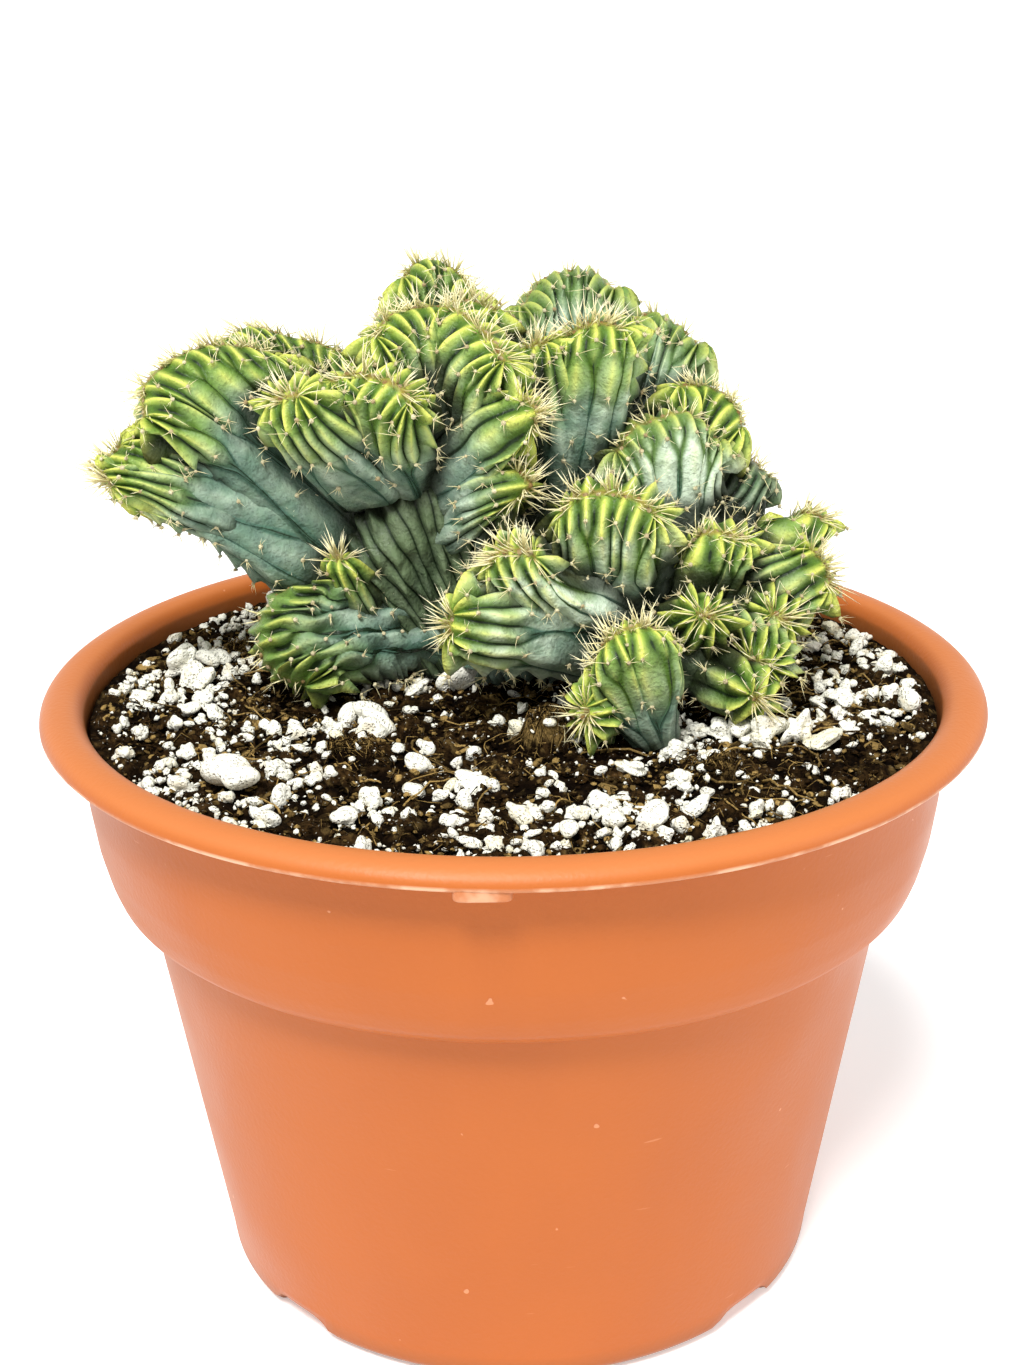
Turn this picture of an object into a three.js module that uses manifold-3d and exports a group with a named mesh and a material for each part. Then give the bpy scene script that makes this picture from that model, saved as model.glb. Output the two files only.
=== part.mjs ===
// Potted crested blue myrtle cactus: a flattened, many-headed cactus standing in a wide plastic pot
// of peat and perlite. Millimetres, +Z up, origin on the ground under the middle of the pot.
import * as THREE from 'three';
import { mergeVertices } from 'three/addons/utils/BufferGeometryUtils.js';
import Module from 'manifold-3d';

const wasm = await Module();
wasm.setup();

// Pot
const RIM_RADIUS = 105;
const RIM_LOW = 135.3;
const RIM_TOP = 139.8;
const RIM_CREST_RADIUS = 99.5;
const RIM_INNER_RADIUS = 95.2;
const RIM_ARC_STEPS = 3;
const BAND_TOP_RADIUS = 96.9;
const BAND_LOW_RADIUS = 89.2;
const BAND_LOW = 95.1;
const BODY_TOP_RADIUS = 84.7;
const BODY_LOW_RADIUS = 70.2;
const BODY_LOW = 8;
const FOOT_RADIUS = 66.5;
const FOOT_INNER_RADIUS = 59.5;
const FOOT_RECESS = 4.5;
const WALL = 2;
const AROUND = 48;
const NOTCH = { width: 19, height: 3.2, length: 14, angles: [-137, -43, 43, 137] };
const DRAIN = { radius: 4, circle: 40, count: 6 };
const TAB = { left: -11.6, right: -0.4, out: 104.4, height: 2.2 };

// Soil
const GAP = 0.35;
const SOIL_EDGE = 133.7;
const SOIL_MIDDLE = 132.6;
const SOIL_RELIEF = 0.9;
const GRAINS = { count: 104, least: 2.2, most: 4.6, reach: 89, spacing: 8.05 };
// Hollows in the soil under the lowest heads
const HOLLOWS = [
  { at: [-47, 2], reach: 17, depth: 2.6 },
  { at: [34, -12], reach: 24, depth: 1.9 },
  { at: [2, 2], reach: 16, depth: 0.8 },
];
// Places under the cactus, where no grain is laid
const SHADED = [
  { at: [-42, 8], half: [24, 24] },
  { at: [14, 10], half: [50, 44] },
];
const CLUMPS = [
  { at: [-60, -26], size: [9, 5, 4.2] },
  { at: [-30, -22], size: [4, 3.4, 3.4] },
  { at: [66, -16], size: [10, 6.5, 4] },
  { at: [81, -22], size: [8, 5, 3.6] },
  { at: [6.5, -22], size: [6.5, 5.5, 5] },
];

// Stems where they pass through the soil
const STEM_FOOT = 104;
const STEM_SHOULDER = 141;
const STEMS = [
  { at: [-8, 24], half: [13, 9], sides: 14 },
  { at: [34, 10], half: [13, 9.5], sides: 14 },
];

// Cactus ribs and spines
const RIB_PITCH = 8;
const RIB_RIDGE = 1.1;
const RIB_GROOVE = 0.9;
const SHEET_STEP = 1e-3;
const FORK_LEVEL = 0.62;
const FORK_PULL = 0.72;
const DOME_ANGLES = [42, 74];
const TOOTH = 0.45;
const SPINE = { length: 6.6, radius: 0.42, sunk: 1.4, pitch: 5.6 };

// Heads of the cactus. root is where the head leaves the plant, wide and deep there by rootWidth and
// rootThick; line is its growing line, from which the ribs run down; thick is half its depth below it.
const HEADS = [
  { name: 'left_low', root: [-33, 21, 159], rootWidth: 18, rootThick: 9, thick: 7.6, end: 4.8,
    line: [[-85, 2, 183.5], [-89, 0, 188], [-85, 3, 192]] },
  { name: 'left_high', root: [-33, 22, 167], rootWidth: 20, rootThick: 9, thick: 9,
    line: [[-79, 1, 199], [-79, 4, 205], [-73, 8, 210], [-66, 12, 212], [-58, 15, 211], [-52, 18, 208]] },
  { name: 'left_behind', root: [-30, 28, 174], rootWidth: 18, rootThick: 8, thick: 6.5,
    line: [[-64, 29, 210], [-59, 32, 212], [-52, 33, 210], [-44, 33, 208], [-38, 32, 206]] },
  { name: 'middle_star', root: [-29, 14, 179], rootWidth: 10, rootThick: 7.5, thick: 8, end: 7.2,
    line: [[-50, -4, 204], [-45, -6, 205]] },
  { name: 'middle_low', root: [-24, 13, 180], rootWidth: 9, rootThick: 6.5, thick: 7.8,
    line: [[-38, -2, 207], [-34, 0, 208], [-29, -3, 208], [-24, -7, 207], [-21, -8, 204]] },
  { name: 'middle_high', root: [-14, 18, 176], rootWidth: 17, rootThick: 9, thick: 9,
    line: [[-29, 10, 214], [-26, 13, 218], [-20, 16, 219], [-14, 17, 219], [-8, 12, 217], [-3, 5, 213],
      [-1, 2, 210]] },
  { name: 'centre_star', root: [-15, 15, 180], rootWidth: 12, rootThick: 8, thick: 7.4, end: 6.5,
    line: [[3, 0, 203], [6, -4, 200], [5, -2, 196]] },
  { name: 'centre_low_star', root: [-15, 16, 172], rootWidth: 10, rootThick: 8, thick: 6.6, end: 5.5,
    line: [[2, -1, 187], [4, -4, 184], [2, -2, 180]] },
  { name: 'top_left', root: [-10, 32, 178], rootWidth: 16, rootThick: 9, thick: 7.6,
    line: [[-24, 42, 221], [-21, 45, 224], [-16, 46, 224], [-11, 44, 221], [-8, 42, 218]] },
  { name: 'top_near', root: [-8, 28, 180], rootWidth: 12, rootThick: 8, thick: 6,
    line: [[-13, 29, 217], [-8, 30, 218], [-3, 28, 216]] },
  { name: 'top_right', root: [14, 36, 168], rootWidth: 16, rootThick: 9, thick: 7.5,
    line: [[3, 50, 212], [7, 55, 217], [13, 58, 219], [20, 58, 219], [25, 54, 215]] },
  { name: 'back_star', root: [8, 30, 170], rootWidth: 10, rootThick: 8, thick: 7, end: 6.4,
    line: [[4, 17, 210], [8, 16, 211]] },
  { name: 'back_middle', root: [14, 31, 170], rootWidth: 11, rootThick: 8, thick: 8,
    line: [[15, 19, 213], [19, 16, 215], [23, 18, 214]] },
  { name: 'right_high', root: [24, 36, 170], rootWidth: 15, rootThick: 9, thick: 7.6,
    line: [[29, 44, 210], [34, 48, 211], [40, 47, 208], [44, 44, 204]] },
  { name: 'right_back', root: [34, 30, 163], rootWidth: 14, rootThick: 8, thick: 7,
    line: [[39, 28, 198], [44, 30, 198], [49, 29, 196], [52, 27, 193], [53, 26, 189]] },
  { name: 'right_broad', root: [35, 24, 156], rootWidth: 17, rootThick: 9, thick: 7.5,
    line: [[24, 15, 186], [27, 16, 191], [33, 18, 193], [39, 20, 194], [44, 22, 191], [47, 22, 187]] },
  { name: 'right_dull', root: [43, 27, 154], rootWidth: 13, rootThick: 8, thick: 6,
    line: [[54, 32, 181], [57, 31, 179], [60, 30, 176]] },
  { name: 'front_upper', root: [24, 12, 150], rootWidth: 15, rootThick: 9, thick: 9.2,
    line: [[11, -3, 178], [14, -6, 182], [18, -7, 183], [23, -8, 183], [27, -9, 182], [31, -9, 179]] },
  { name: 'front_right_pair', root: [38, 14, 149], rootWidth: 13, rootThick: 8, thick: 7.6,
    line: [[40, 2, 169], [43, -1, 172], [48, 1, 171], [52, 1, 170]] },
  { name: 'right_far', root: [46, 20, 150], rootWidth: 13, rootThick: 9, thick: 8,
    line: [[63, 14, 170], [67, 12, 172.5], [71, 12, 171]] },
  { name: 'right_end', root: [46, 16, 149], rootWidth: 13, rootThick: 9, thick: 9,
    line: [[67, 5, 166], [70, 3, 163], [71, 3, 158]] },
  { name: 'right_low_star', root: [47, 12, 145], rootWidth: 12, rootThick: 8.5, thick: 8.4,
    line: [[57, -7, 155], [61, -7, 153]] },
  { name: 'right_lowest_star', root: [48, 8, 145], rootWidth: 10, rootThick: 8, thick: 8.4, end: 7.6,
    line: [[51, -17, 148], [55, -19, 147]] },
  { name: 'soil_right', root: [42, -4, 142], rootWidth: 8, rootThick: 6.5, thick: 6.4,
    line: [[51, -26, 143], [54, -25, 141]] },
  { name: 'front_right', root: [33, -12, 142], rootWidth: 11, rootThick: 7, thick: 8.4,
    line: [[18, -26, 149], [18, -29, 154], [20, -31, 158], [23, -31, 160], [27, -31, 161], [30, -28, 159]] },
  { name: 'front_right_star', root: [37, 2, 144], rootWidth: 9, rootThick: 7.5, thick: 6.2, end: 5.4,
    line: [[40, -18, 159], [43, -19, 159]] },
  { name: 'front_lobe', root: [30, -8, 141], rootWidth: 8, rootThick: 6, thick: 6, end: 5.2,
    line: [[15, -32, 143], [15, -33, 140.5]] },
  { name: 'front_centre', root: [20, 4, 150], rootWidth: 13, rootThick: 8, thick: 8,
    line: [[-5, -14, 170], [-2, -16, 173], [2, -16, 173], [5, -14, 171]] },
  { name: 'front_centre_star', root: [20, 2, 148], rootWidth: 12, rootThick: 7.5, thick: 7, end: 6,
    line: [[-13, -20, 160], [-14, -21, 156]] },
  { name: 'soil_left', root: [-15, 22, 146], rootWidth: 15, rootThick: 8, thick: 8.4, pitch: 6,
    line: [[-46, -3, 138.2], [-53, -3, 141], [-57, -1, 147], [-56, 3, 153.5], [-50, 7, 158], [-43, 11, 158],
      [-37, 14, 156]] },
  { name: 'soil_left_star', root: [-33, 15, 148], rootWidth: 7, rootThick: 6, thick: 5.2, end: 4.6,
    line: [[-40, 3, 165], [-37, 3, 165]] },
  { name: 'soil_front', root: [6, 14, 142], rootWidth: 11, rootThick: 5.5, thick: 6, pitch: 6,
    line: [[-7, 1, 140.5], [-3, -1, 142], [3, -1, 142.5], [9, 1, 142], [12, 4, 140.5]] },
  { name: 'rear_left', root: [-22, 32, 164], rootWidth: 16, rootThick: 9, thick: 8,
    line: [[-52, 48, 172], [-50, 55, 180], [-42, 58, 184], [-33, 57, 183]] },
  { name: 'rear_middle', root: [0, 36, 160], rootWidth: 17, rootThick: 9, thick: 8.5,
    line: [[-18, 62, 168], [-12, 68, 176], [-2, 70, 179], [9, 68, 176], [15, 62, 169]] },
  { name: 'rear_right', root: [32, 32, 158], rootWidth: 16, rootThick: 9, thick: 8,
    line: [[28, 62, 166], [35, 62, 174], [45, 57, 176], [53, 50, 170], [56, 46, 163]] },
  { name: 'rear_low', root: [-12, 32, 146], rootWidth: 12, rootThick: 8, thick: 7.2,
    line: [[-36, 52, 145], [-36, 55, 151], [-29, 58, 155], [-20, 58, 154]] },
  { name: 'rear_low_right', root: [40, 24, 145], rootWidth: 12, rootThick: 8, thick: 7.4,
    line: [[58, 42, 144], [64, 38, 151], [68, 29, 154], [69, 22, 150]] },
];

// The trunk that shows at the front left, built like the heads but bare of spines
const TRUNK = {
  name: 'trunk', root: [-8, 24, 135], rootWidth: 10, rootThick: 9, thick: 9.5, pitch: 11,
  line: [[-34, 20, 168], [-28, 20, 176], [-18, 21, 180], [-8, 24, 180]],
};

// Thick woody middles, where the heads grow together
const MIDDLES = [
  { at: [-14, 25, 169], half: [19.5, 12, 20.5] },
  { at: [9, 31, 166], half: [20.5, 13, 24] },
  { at: [35, 19, 152], half: [20.5, 14, 18.5] },
  { at: [38, 1, 146], half: [12, 17, 11] },
];

const POT_MATERIAL = { color: 0xc0653a, roughness: 0.55, metalness: 0 };
const SOIL_MATERIAL = { color: 0x4a3626, roughness: 1, metalness: 0 };
const CACTUS_MATERIAL = { color: 0x6f9a5c, roughness: 0.7, metalness: 0 };

// A repeatable number between 0 and 1 for each whole number
function draw(seed) {
  const wave = Math.sin(seed * 12.9898 + 4.137) * 43758.5453;
  return wave - Math.floor(wave);
}

function toSolid(geometry) {
  const bare = geometry.clone();
  bare.deleteAttribute('normal');
  bare.deleteAttribute('uv');
  const merged = mergeVertices(bare, 1e-4);
  return new wasm.Manifold(new wasm.Mesh({
    numProp: 3,
    vertProperties: new Float32Array(merged.attributes.position.array),
    triVerts: new Uint32Array(merged.index.array),
  }));
}

// The outer shell of the largest piece, with no sealed hollow and no loose scrap
function outerShell(solid) {
  return solid.decompose().reduce((best, piece) => (piece.volume() > best.volume() ? piece : best));
}

function toGeometry(solid) {
  const mesh = solid.getMesh();
  const geometry = new THREE.BufferGeometry();
  geometry.setAttribute('position', new THREE.BufferAttribute(new Float32Array(mesh.vertProperties), 3));
  geometry.setIndex(new THREE.BufferAttribute(new Uint32Array(mesh.triVerts), 1));
  geometry.computeVertexNormals();
  return geometry;
}

// Joins neighbours pair by pair until one solid is left
function joinAll(solids) {
  let row = solids;
  while (row.length > 1) {
    const next = [];
    for (let i = 0; i < row.length; i += 2) {
      next.push(i + 1 < row.length ? row[i].add(row[i + 1]) : row[i]);
    }
    row = next;
  }
  return row[0];
}

// A profile of [radius, height] pairs turned about the Z axis
function turned(profile, segments) {
  const points = profile.map(([radius, height]) => new THREE.Vector2(radius, height));
  return new THREE.LatheGeometry(points, segments).rotateX(Math.PI / 2);
}

// The rolled rim: a quarter ellipse outwards from its crest and one inwards
function rimArc() {
  const points = [];
  for (let i = 0; i <= RIM_ARC_STEPS; i++) {
    const angle = (Math.PI / 2) * (i / RIM_ARC_STEPS);
    points.push([
      RIM_CREST_RADIUS + (RIM_RADIUS - RIM_CREST_RADIUS) * Math.cos(angle),
      RIM_LOW + 0.6 + (RIM_TOP - RIM_LOW - 0.6) * Math.sin(angle),
    ]);
  }
  for (let i = 1; i <= RIM_ARC_STEPS - 1; i++) {
    const angle = (Math.PI / 2) * (i / (RIM_ARC_STEPS - 1));
    points.push([
      RIM_CREST_RADIUS - (RIM_CREST_RADIUS - RIM_INNER_RADIUS) * Math.sin(angle),
      RIM_LOW + 0.6 + (RIM_TOP - RIM_LOW - 0.6) * Math.cos(angle),
    ]);
  }
  return points;
}

function potProfile() {
  return [
    [0, FOOT_RECESS],
    [FOOT_INNER_RADIUS - 1, FOOT_RECESS],
    [FOOT_INNER_RADIUS, 0],
    [FOOT_RADIUS, 0],
    [FOOT_RADIUS + 3, 2.6],
    [BODY_LOW_RADIUS, BODY_LOW],
    [BODY_TOP_RADIUS, BAND_LOW],
    [BAND_LOW_RADIUS - 0.8, BAND_LOW],
    [BAND_LOW_RADIUS, BAND_LOW + 0.7],
    [91.2, 97.6],
    [92.7, 101.6],
    [94.4, 108.5],
    [95.7, 118],
    [BAND_TOP_RADIUS, RIM_LOW],
    [RIM_RADIUS - 0.2, RIM_LOW],
    ...rimArc(),
    [BAND_TOP_RADIUS - WALL, 131],
    [94.7 - WALL, 111],
    [91.2 - WALL, 99.4],
    [BAND_LOW_RADIUS - WALL, BAND_LOW + WALL],
    [BODY_TOP_RADIUS - WALL, BAND_LOW + WALL],
    [BODY_LOW_RADIUS - WALL, BODY_LOW + 1.4],
    [FOOT_RADIUS - 1, FOOT_RECESS + WALL],
    [0, FOOT_RECESS + WALL],
  ];
}

function potNotches() {
  return NOTCH.angles.map((degrees) => {
    const arch = new THREE.CylinderGeometry(NOTCH.width / 2, NOTCH.width / 2, NOTCH.length, 12);
    arch.scale(1, 1, NOTCH.height / (NOTCH.width / 2));
    arch.rotateZ(Math.PI / 2);
    arch.translate(FOOT_RADIUS - 1, 0, 0);
    arch.rotateZ(THREE.MathUtils.degToRad(degrees));
    return toSolid(arch);
  });
}

function potDrains() {
  const drains = [];
  for (let i = 0; i < DRAIN.count; i++) {
    const angle = (2 * Math.PI * i) / DRAIN.count;
    const hole = new THREE.CylinderGeometry(DRAIN.radius, DRAIN.radius, 6, 10).rotateX(Math.PI / 2);
    hole.translate(DRAIN.circle * Math.cos(angle), DRAIN.circle * Math.sin(angle), FOOT_RECESS + 1);
    drains.push(toSolid(hole));
  }
  return drains;
}

// The small moulded tab under the front of the rim
function potTab() {
  const depth = TAB.out - BAND_TOP_RADIUS + 1.4;
  const tab = new THREE.BoxGeometry(TAB.right - TAB.left, depth, TAB.height + 0.4);
  tab.translate((TAB.left + TAB.right) / 2, -TAB.out + depth / 2, RIM_LOW - TAB.height / 2 + 0.2);
  return toSolid(tab);
}

function pot() {
  const body = toSolid(turned(potProfile(), AROUND));
  return body.add(potTab()).subtract(joinAll([...potNotches(), ...potDrains()]));
}

// Height of the soil at a place: a shallow dish with gentle waves and the hollows under the low heads
function soilHeight(x, y) {
  const reach = Math.hypot(x, y) / RIM_INNER_RADIUS;
  const dish = SOIL_MIDDLE + (SOIL_EDGE - SOIL_MIDDLE) * reach * reach;
  const waves = Math.sin(x * 0.13 + 1.7) * Math.cos(y * 0.11 - 0.6) + 0.6 * Math.sin(x * 0.071 - y * 0.093);
  const sunk = HOLLOWS.map((one) => {
    const away = Math.hypot(x - one.at[0], y - one.at[1]) / one.reach;
    return one.depth * Math.exp(-(away ** 4));
  });
  return dish + SOIL_RELIEF * 0.5 * waves * (1 - reach ** 4) - Math.max(...sunk);
}

function soilBody() {
  const topRings = [84, 70, 55, 39, 20, 0];
  const profile = [
    [0, FOOT_RECESS + WALL + GAP],
    [FOOT_RADIUS - 1 - GAP, FOOT_RECESS + WALL + GAP],
    [BODY_LOW_RADIUS - WALL - GAP, BODY_LOW + 1.4 + GAP],
    [BODY_TOP_RADIUS - WALL - GAP, BAND_LOW + WALL + GAP],
    [BAND_LOW_RADIUS - WALL - GAP - 0.4, BAND_LOW + WALL + GAP],
    [94.4 - WALL - GAP - 0.2, 109],
    [BAND_TOP_RADIUS - WALL - GAP - 0.1, SOIL_EDGE - 0.6],
    ...topRings.map((radius) => [radius, SOIL_EDGE]),
  ];
  const geometry = turned(profile, AROUND);
  const position = geometry.attributes.position;
  for (let i = 0; i < position.count; i++) {
    if (position.getZ(i) > SOIL_EDGE - 0.1) {
      position.setZ(i, soilHeight(position.getX(i), position.getY(i)));
    }
  }
  return toSolid(geometry);
}

// A lump of perlite or peat: a few-sided ball, stretched and turned, half sunk in the soil
function lump(x, y, size, seed) {
  const ball = new THREE.OctahedronGeometry(1, 0);
  ball.rotateX(draw(seed) * 6);
  ball.rotateY(draw(seed + 1) * 6);
  ball.scale(...size);
  ball.rotateZ(draw(seed + 2) * 0.8);
  ball.translate(x, y, soilHeight(x, y) + size[2] * 0.2);
  return toSolid(ball);
}

function isShaded(x, y) {
  return SHADED.some(({ at, half }) => Math.hypot((x - at[0]) / half[0], (y - at[1]) / half[1]) < 1);
}

// Perlite grains on a sunflower spiral, so that they lie evenly over the soil, each a little off its place
function grains() {
  const found = [];
  const golden = Math.PI * (3 - Math.sqrt(5));
  for (let i = 0; found.length < GRAINS.count; i++) {
    const radius = GRAINS.spacing * Math.sqrt(i + 0.5);
    if (radius > GRAINS.reach) {
      break;
    }
    const angle = i * golden + draw(i) * 0.35;
    const x = radius * Math.cos(angle);
    const y = radius * Math.sin(angle);
    const half = GRAINS.least + (GRAINS.most - GRAINS.least) * draw(i + 40);
    if (!isShaded(x, y)) {
      found.push(lump(x, y, [half, half * (0.7 + 0.3 * draw(i + 80)), half * 0.75], i * 3));
    }
  }
  return found;
}

// A plain upright stem of oval section, larger all round by grow
function stem({ at, half, sides }, low, high, grow) {
  const shape = new THREE.CylinderGeometry(1, 1, high - low, sides).rotateX(Math.PI / 2);
  shape.scale(half[0] + grow, half[1] + grow, 1);
  shape.translate(at[0], at[1], (low + high) / 2);
  return toSolid(shape);
}

function soil() {
  const clumps = CLUMPS.map(({ at, size }, i) => lump(at[0], at[1], size, 300 + i));
  const holes = STEMS.map((one) => stem(one, STEM_FOOT - GAP, SOIL_MIDDLE + 20, GAP));
  return outerShell(joinAll([soilBody(), ...clumps, ...grains()]).subtract(joinAll(holes)));
}

// A head's middle sheet: u runs along the growing line, s from the root up to that line
function sheet(head) {
  const corners = head.line.map((p) => new THREE.Vector3(...p));
  const line = new THREE.CatmullRomCurve3(corners, false, 'catmullrom', 0.5);
  const root = new THREE.Vector3(...head.root);
  const axis = line.getPoint(0.5).sub(root);
  const length = axis.length();
  const across = line.getPoint(1).sub(line.getPoint(0));
  across.addScaledVector(axis, -across.dot(axis) / (length * length)).normalize();
  const point = (u, s) => {
    const from = root.clone().addScaledVector(across, (u - 0.5) * head.rootWidth);
    const to = line.getPoint(u);
    const leave = from.clone().addScaledVector(axis, 1 / 3);
    const arrive = to.clone().addScaledVector(to.clone().sub(root), -1 / 3);
    return new THREE.CubicBezierCurve3(from, leave, arrive, to).getPoint(s);
  };
  return { point, length };
}

// Directions on the sheet: along the growing line, towards it, and out of the sheet
function directions(point, u, s) {
  const u0 = Math.min(Math.max(u - SHEET_STEP, 0), 1 - 2 * SHEET_STEP);
  const s0 = Math.min(Math.max(s - SHEET_STEP, 0), 1 - 2 * SHEET_STEP);
  const along = point(u0 + 2 * SHEET_STEP, s).sub(point(u0, s)).normalize();
  const up = point(u, s0 + 2 * SHEET_STEP).sub(point(u, s0)).normalize();
  const out = new THREE.Vector3().crossVectors(along, up).normalize();
  return { along, up, out };
}

// How far along the growing line, and how far round the end, a share t of the half section lies
function roundSection(t, endShare) {
  if (t < endShare) {
    return { u: 0, turn: -(Math.PI / 2) * (1 - t / endShare) };
  }
  if (t > 1 - endShare) {
    return { u: 1, turn: (Math.PI / 2) * (1 - (1 - t) / endShare) };
  }
  return { u: (t - endShare) / (1 - 2 * endShare), turn: 0 };
}

function sheetWidth(point, s) {
  let width = 0;
  for (let i = 0; i < 12; i++) {
    width += point((i + 1) / 12, s).distanceTo(point(i / 12, s));
  }
  return width;
}

// How many bands of ribs a head has between its root and its round top
function bandCount(length) {
  if (length > 60) {
    return 3;
  }
  return length > 38 ? 2 : 1;
}

// Levels from the root to the growing line, each with its share of the depth left by the round top
function levels(shoulder, bodyBands) {
  const list = [];
  for (let i = 0; i <= bodyBands; i++) {
    list.push({ s: (shoulder * i) / bodyBands, tilt: 0 });
  }
  for (const degrees of DOME_ANGLES) {
    const tilt = THREE.MathUtils.degToRad(degrees);
    list.push({ s: shoulder + (1 - shoulder) * Math.sin(tilt), tilt });
  }
  return list;
}

// A flattened head with ribs: rings of ridge and groove points round the sheet, closed at both ends.
// Every second rib dies out below the fork level, where the grooves beside it run together.
function headSolid(head, seed) {
  const { point, length } = sheet(head);
  const end = head.end ?? head.thick * 0.55;
  const shoulder = 1 - Math.min(0.5, (head.thick * 1.05) / length);
  const width = sheetWidth(point, shoulder);
  const half = width + (Math.PI * (end + head.thick)) / 2;
  const steps = 2 * Math.max(3, Math.round(half / (head.pitch ?? RIB_PITCH)));
  const endShare = (Math.PI * (end + head.thick)) / 4 / half;
  const rings = levels(shoulder, bandCount(length)).map(({ s, tilt }, row) => {
    const body = THREE.MathUtils.smoothstep(s, 0, shoulder);
    const depth = THREE.MathUtils.lerp(head.rootThick, head.thick, body) * Math.cos(tilt);
    const edge = THREE.MathUtils.lerp(head.rootThick * 0.6, end, body) * Math.cos(tilt);
    const swell = (0.35 + 0.65 * body) * Math.cos(tilt * 0.75);
    const forked = THREE.MathUtils.smoothstep(s / shoulder, FORK_LEVEL - 0.2, FORK_LEVEL + 0.25);
    const ring = [];
    for (let j = 0; j < 2 * steps; j++) {
      const side = j <= steps ? 1 : -1;
      const place = side > 0 ? j : 2 * steps - j;
      const isRidge = place % 2 === 0;
      const nearestYoung = 4 * Math.round((place - 2) / 4) + 2;
      const pull = isRidge ? 0 : (nearestYoung - place) * FORK_PULL * (1 - forked);
      const { u, turn } = roundSection(Math.min(Math.max((place + pull) / steps, 0), 1), endShare);
      const { along, up, out } = directions(point, u, Math.min(s, 0.999));
      const radial = out.clone().multiplyScalar(Math.cos(turn) * side);
      radial.addScaledVector(along, Math.sin(turn));
      const tooth = 1 + TOOTH * ((row + place / 2 + seed) % 2 === 0 ? 1 : -1);
      let rise = isRidge ? RIB_RIDGE * tooth : -RIB_GROOVE;
      if (isRidge && place % 4 === 2) {
        rise = rise * forked - RIB_GROOVE * 0.4 * (1 - forked);
      }
      const normal = radial.clone().multiplyScalar(Math.cos(tilt));
      normal.addScaledVector(up, Math.sin(tilt)).normalize();
      const at = point(u, s)
        .addScaledVector(out, Math.cos(turn) * depth * side)
        .addScaledVector(along, Math.sin(turn) * edge)
        .addScaledVector(normal, rise * swell);
      ring.push(at);
    }
    return ring;
  });
  return ringSolid(rings, steps);
}

// A closed solid from rings of 2 * steps points, each end closed by a strip from its front to its back
function ringSolid(rings, steps) {
  const around = 2 * steps;
  const positions = rings.flat().flatMap((p) => [p.x, p.y, p.z]);
  const index = [];
  for (let row = 0; row + 1 < rings.length; row++) {
    for (let j = 0; j < around; j++) {
      const a = row * around + j;
      const b = row * around + ((j + 1) % around);
      index.push(a, b, b + around, a, b + around, a + around);
    }
  }
  const close = (start, flip) => {
    for (let j = 0; j < steps; j++) {
      const front = [start + j, start + j + 1];
      const back = [start + ((around - j) % around), start + around - j - 1];
      const faces = [[front[0], front[1], back[1]], [front[0], back[1], back[0]]];
      for (const face of faces) {
        if (new Set(face).size === 3) {
          index.push(...(flip ? face.slice().reverse() : face));
        }
      }
    }
  };
  close(0, true);
  close((rings.length - 1) * around, false);
  const geometry = new THREE.BufferGeometry();
  geometry.setAttribute('position', new THREE.BufferAttribute(new Float32Array(positions), 3));
  geometry.setIndex(index);
  const solid = toSolid(geometry);
  if (solid.volume() > 0) {
    return solid;
  }
  const turnedIndex = [];
  for (let i = 0; i < index.length; i += 3) {
    turnedIndex.push(index[i], index[i + 2], index[i + 1]);
  }
  geometry.setIndex(turnedIndex);
  return toSolid(geometry);
}

function middle({ at, half }) {
  return toSolid(new THREE.IcosahedronGeometry(1, 1).scale(...half).translate(...at));
}

// A three-sided needle from a point, sunk at its root
function needle(from, direction, length) {
  const cone = new THREE.ConeGeometry(SPINE.radius, length + SPINE.sunk, 3, 1);
  cone.translate(0, (length + SPINE.sunk) / 2 - SPINE.sunk, 0);
  cone.applyQuaternion(new THREE.Quaternion().setFromUnitVectors(new THREE.Vector3(0, 1, 0), direction));
  cone.translate(from.x, from.y, from.z);
  return toSolid(cone);
}

// Tufts of needles along a head's growing line, leaning out to both sides in turn
function spines(head, seed) {
  const { point } = sheet(head);
  const width = sheetWidth(point, 1);
  const tufts = Math.max(2, Math.round(width / SPINE.pitch) + 1);
  const found = [];
  for (let i = 0; i < tufts; i++) {
    const u = i / (tufts - 1);
    const { along, up, out } = directions(point, u, 0.999);
    const side = (i + seed) % 2 === 0 ? 1 : -1;
    const k = seed * 31 + i;
    const direction = up.clone()
      .addScaledVector(out, side * (0.35 + 0.8 * draw(k)))
      .addScaledVector(along, (draw(k + 500) - 0.5) * 1.2 + (u - 0.5) * 0.9)
      .normalize();
    const from = point(u, 0.97).addScaledVector(out, side * head.thick * 0.2);
    found.push(needle(from, direction, SPINE.length * (0.75 + 0.5 * draw(k + 900))));
  }
  return found;
}

function cactus() {
  const pieces = [];
  STEMS.forEach((one) => pieces.push(stem(one, STEM_FOOT, STEM_SHOULDER, 0)));
  MIDDLES.forEach((one) => pieces.push(middle(one)));
  pieces.push(headSolid(TRUNK, 0));
  HEADS.forEach((head, i) => pieces.push(headSolid(head, i)));
  const bare = joinAll(pieces);
  return outerShell(joinAll([bare, ...HEADS.flatMap((head, i) => spines(head, i + 1))]));
}

function named(name, solid, look) {
  const mesh = new THREE.Mesh(toGeometry(solid), new THREE.MeshStandardMaterial(look));
  mesh.name = name;
  return mesh;
}

const model = new THREE.Group();
model.add(named('pot', pot(), POT_MATERIAL));
model.add(named('soil', soil(), SOIL_MATERIAL));
model.add(named('cactus', cactus(), CACTUS_MATERIAL));

export default model;
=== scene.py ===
"""Potted crested blue myrtle cactus: a flattened, many-headed cactus in a wide pot of peat and perlite.

The shapes are worked out in millimetres, +Z up, with the origin on the ground under the middle of the
pot, and go into the meshes in metres.
"""

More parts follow.
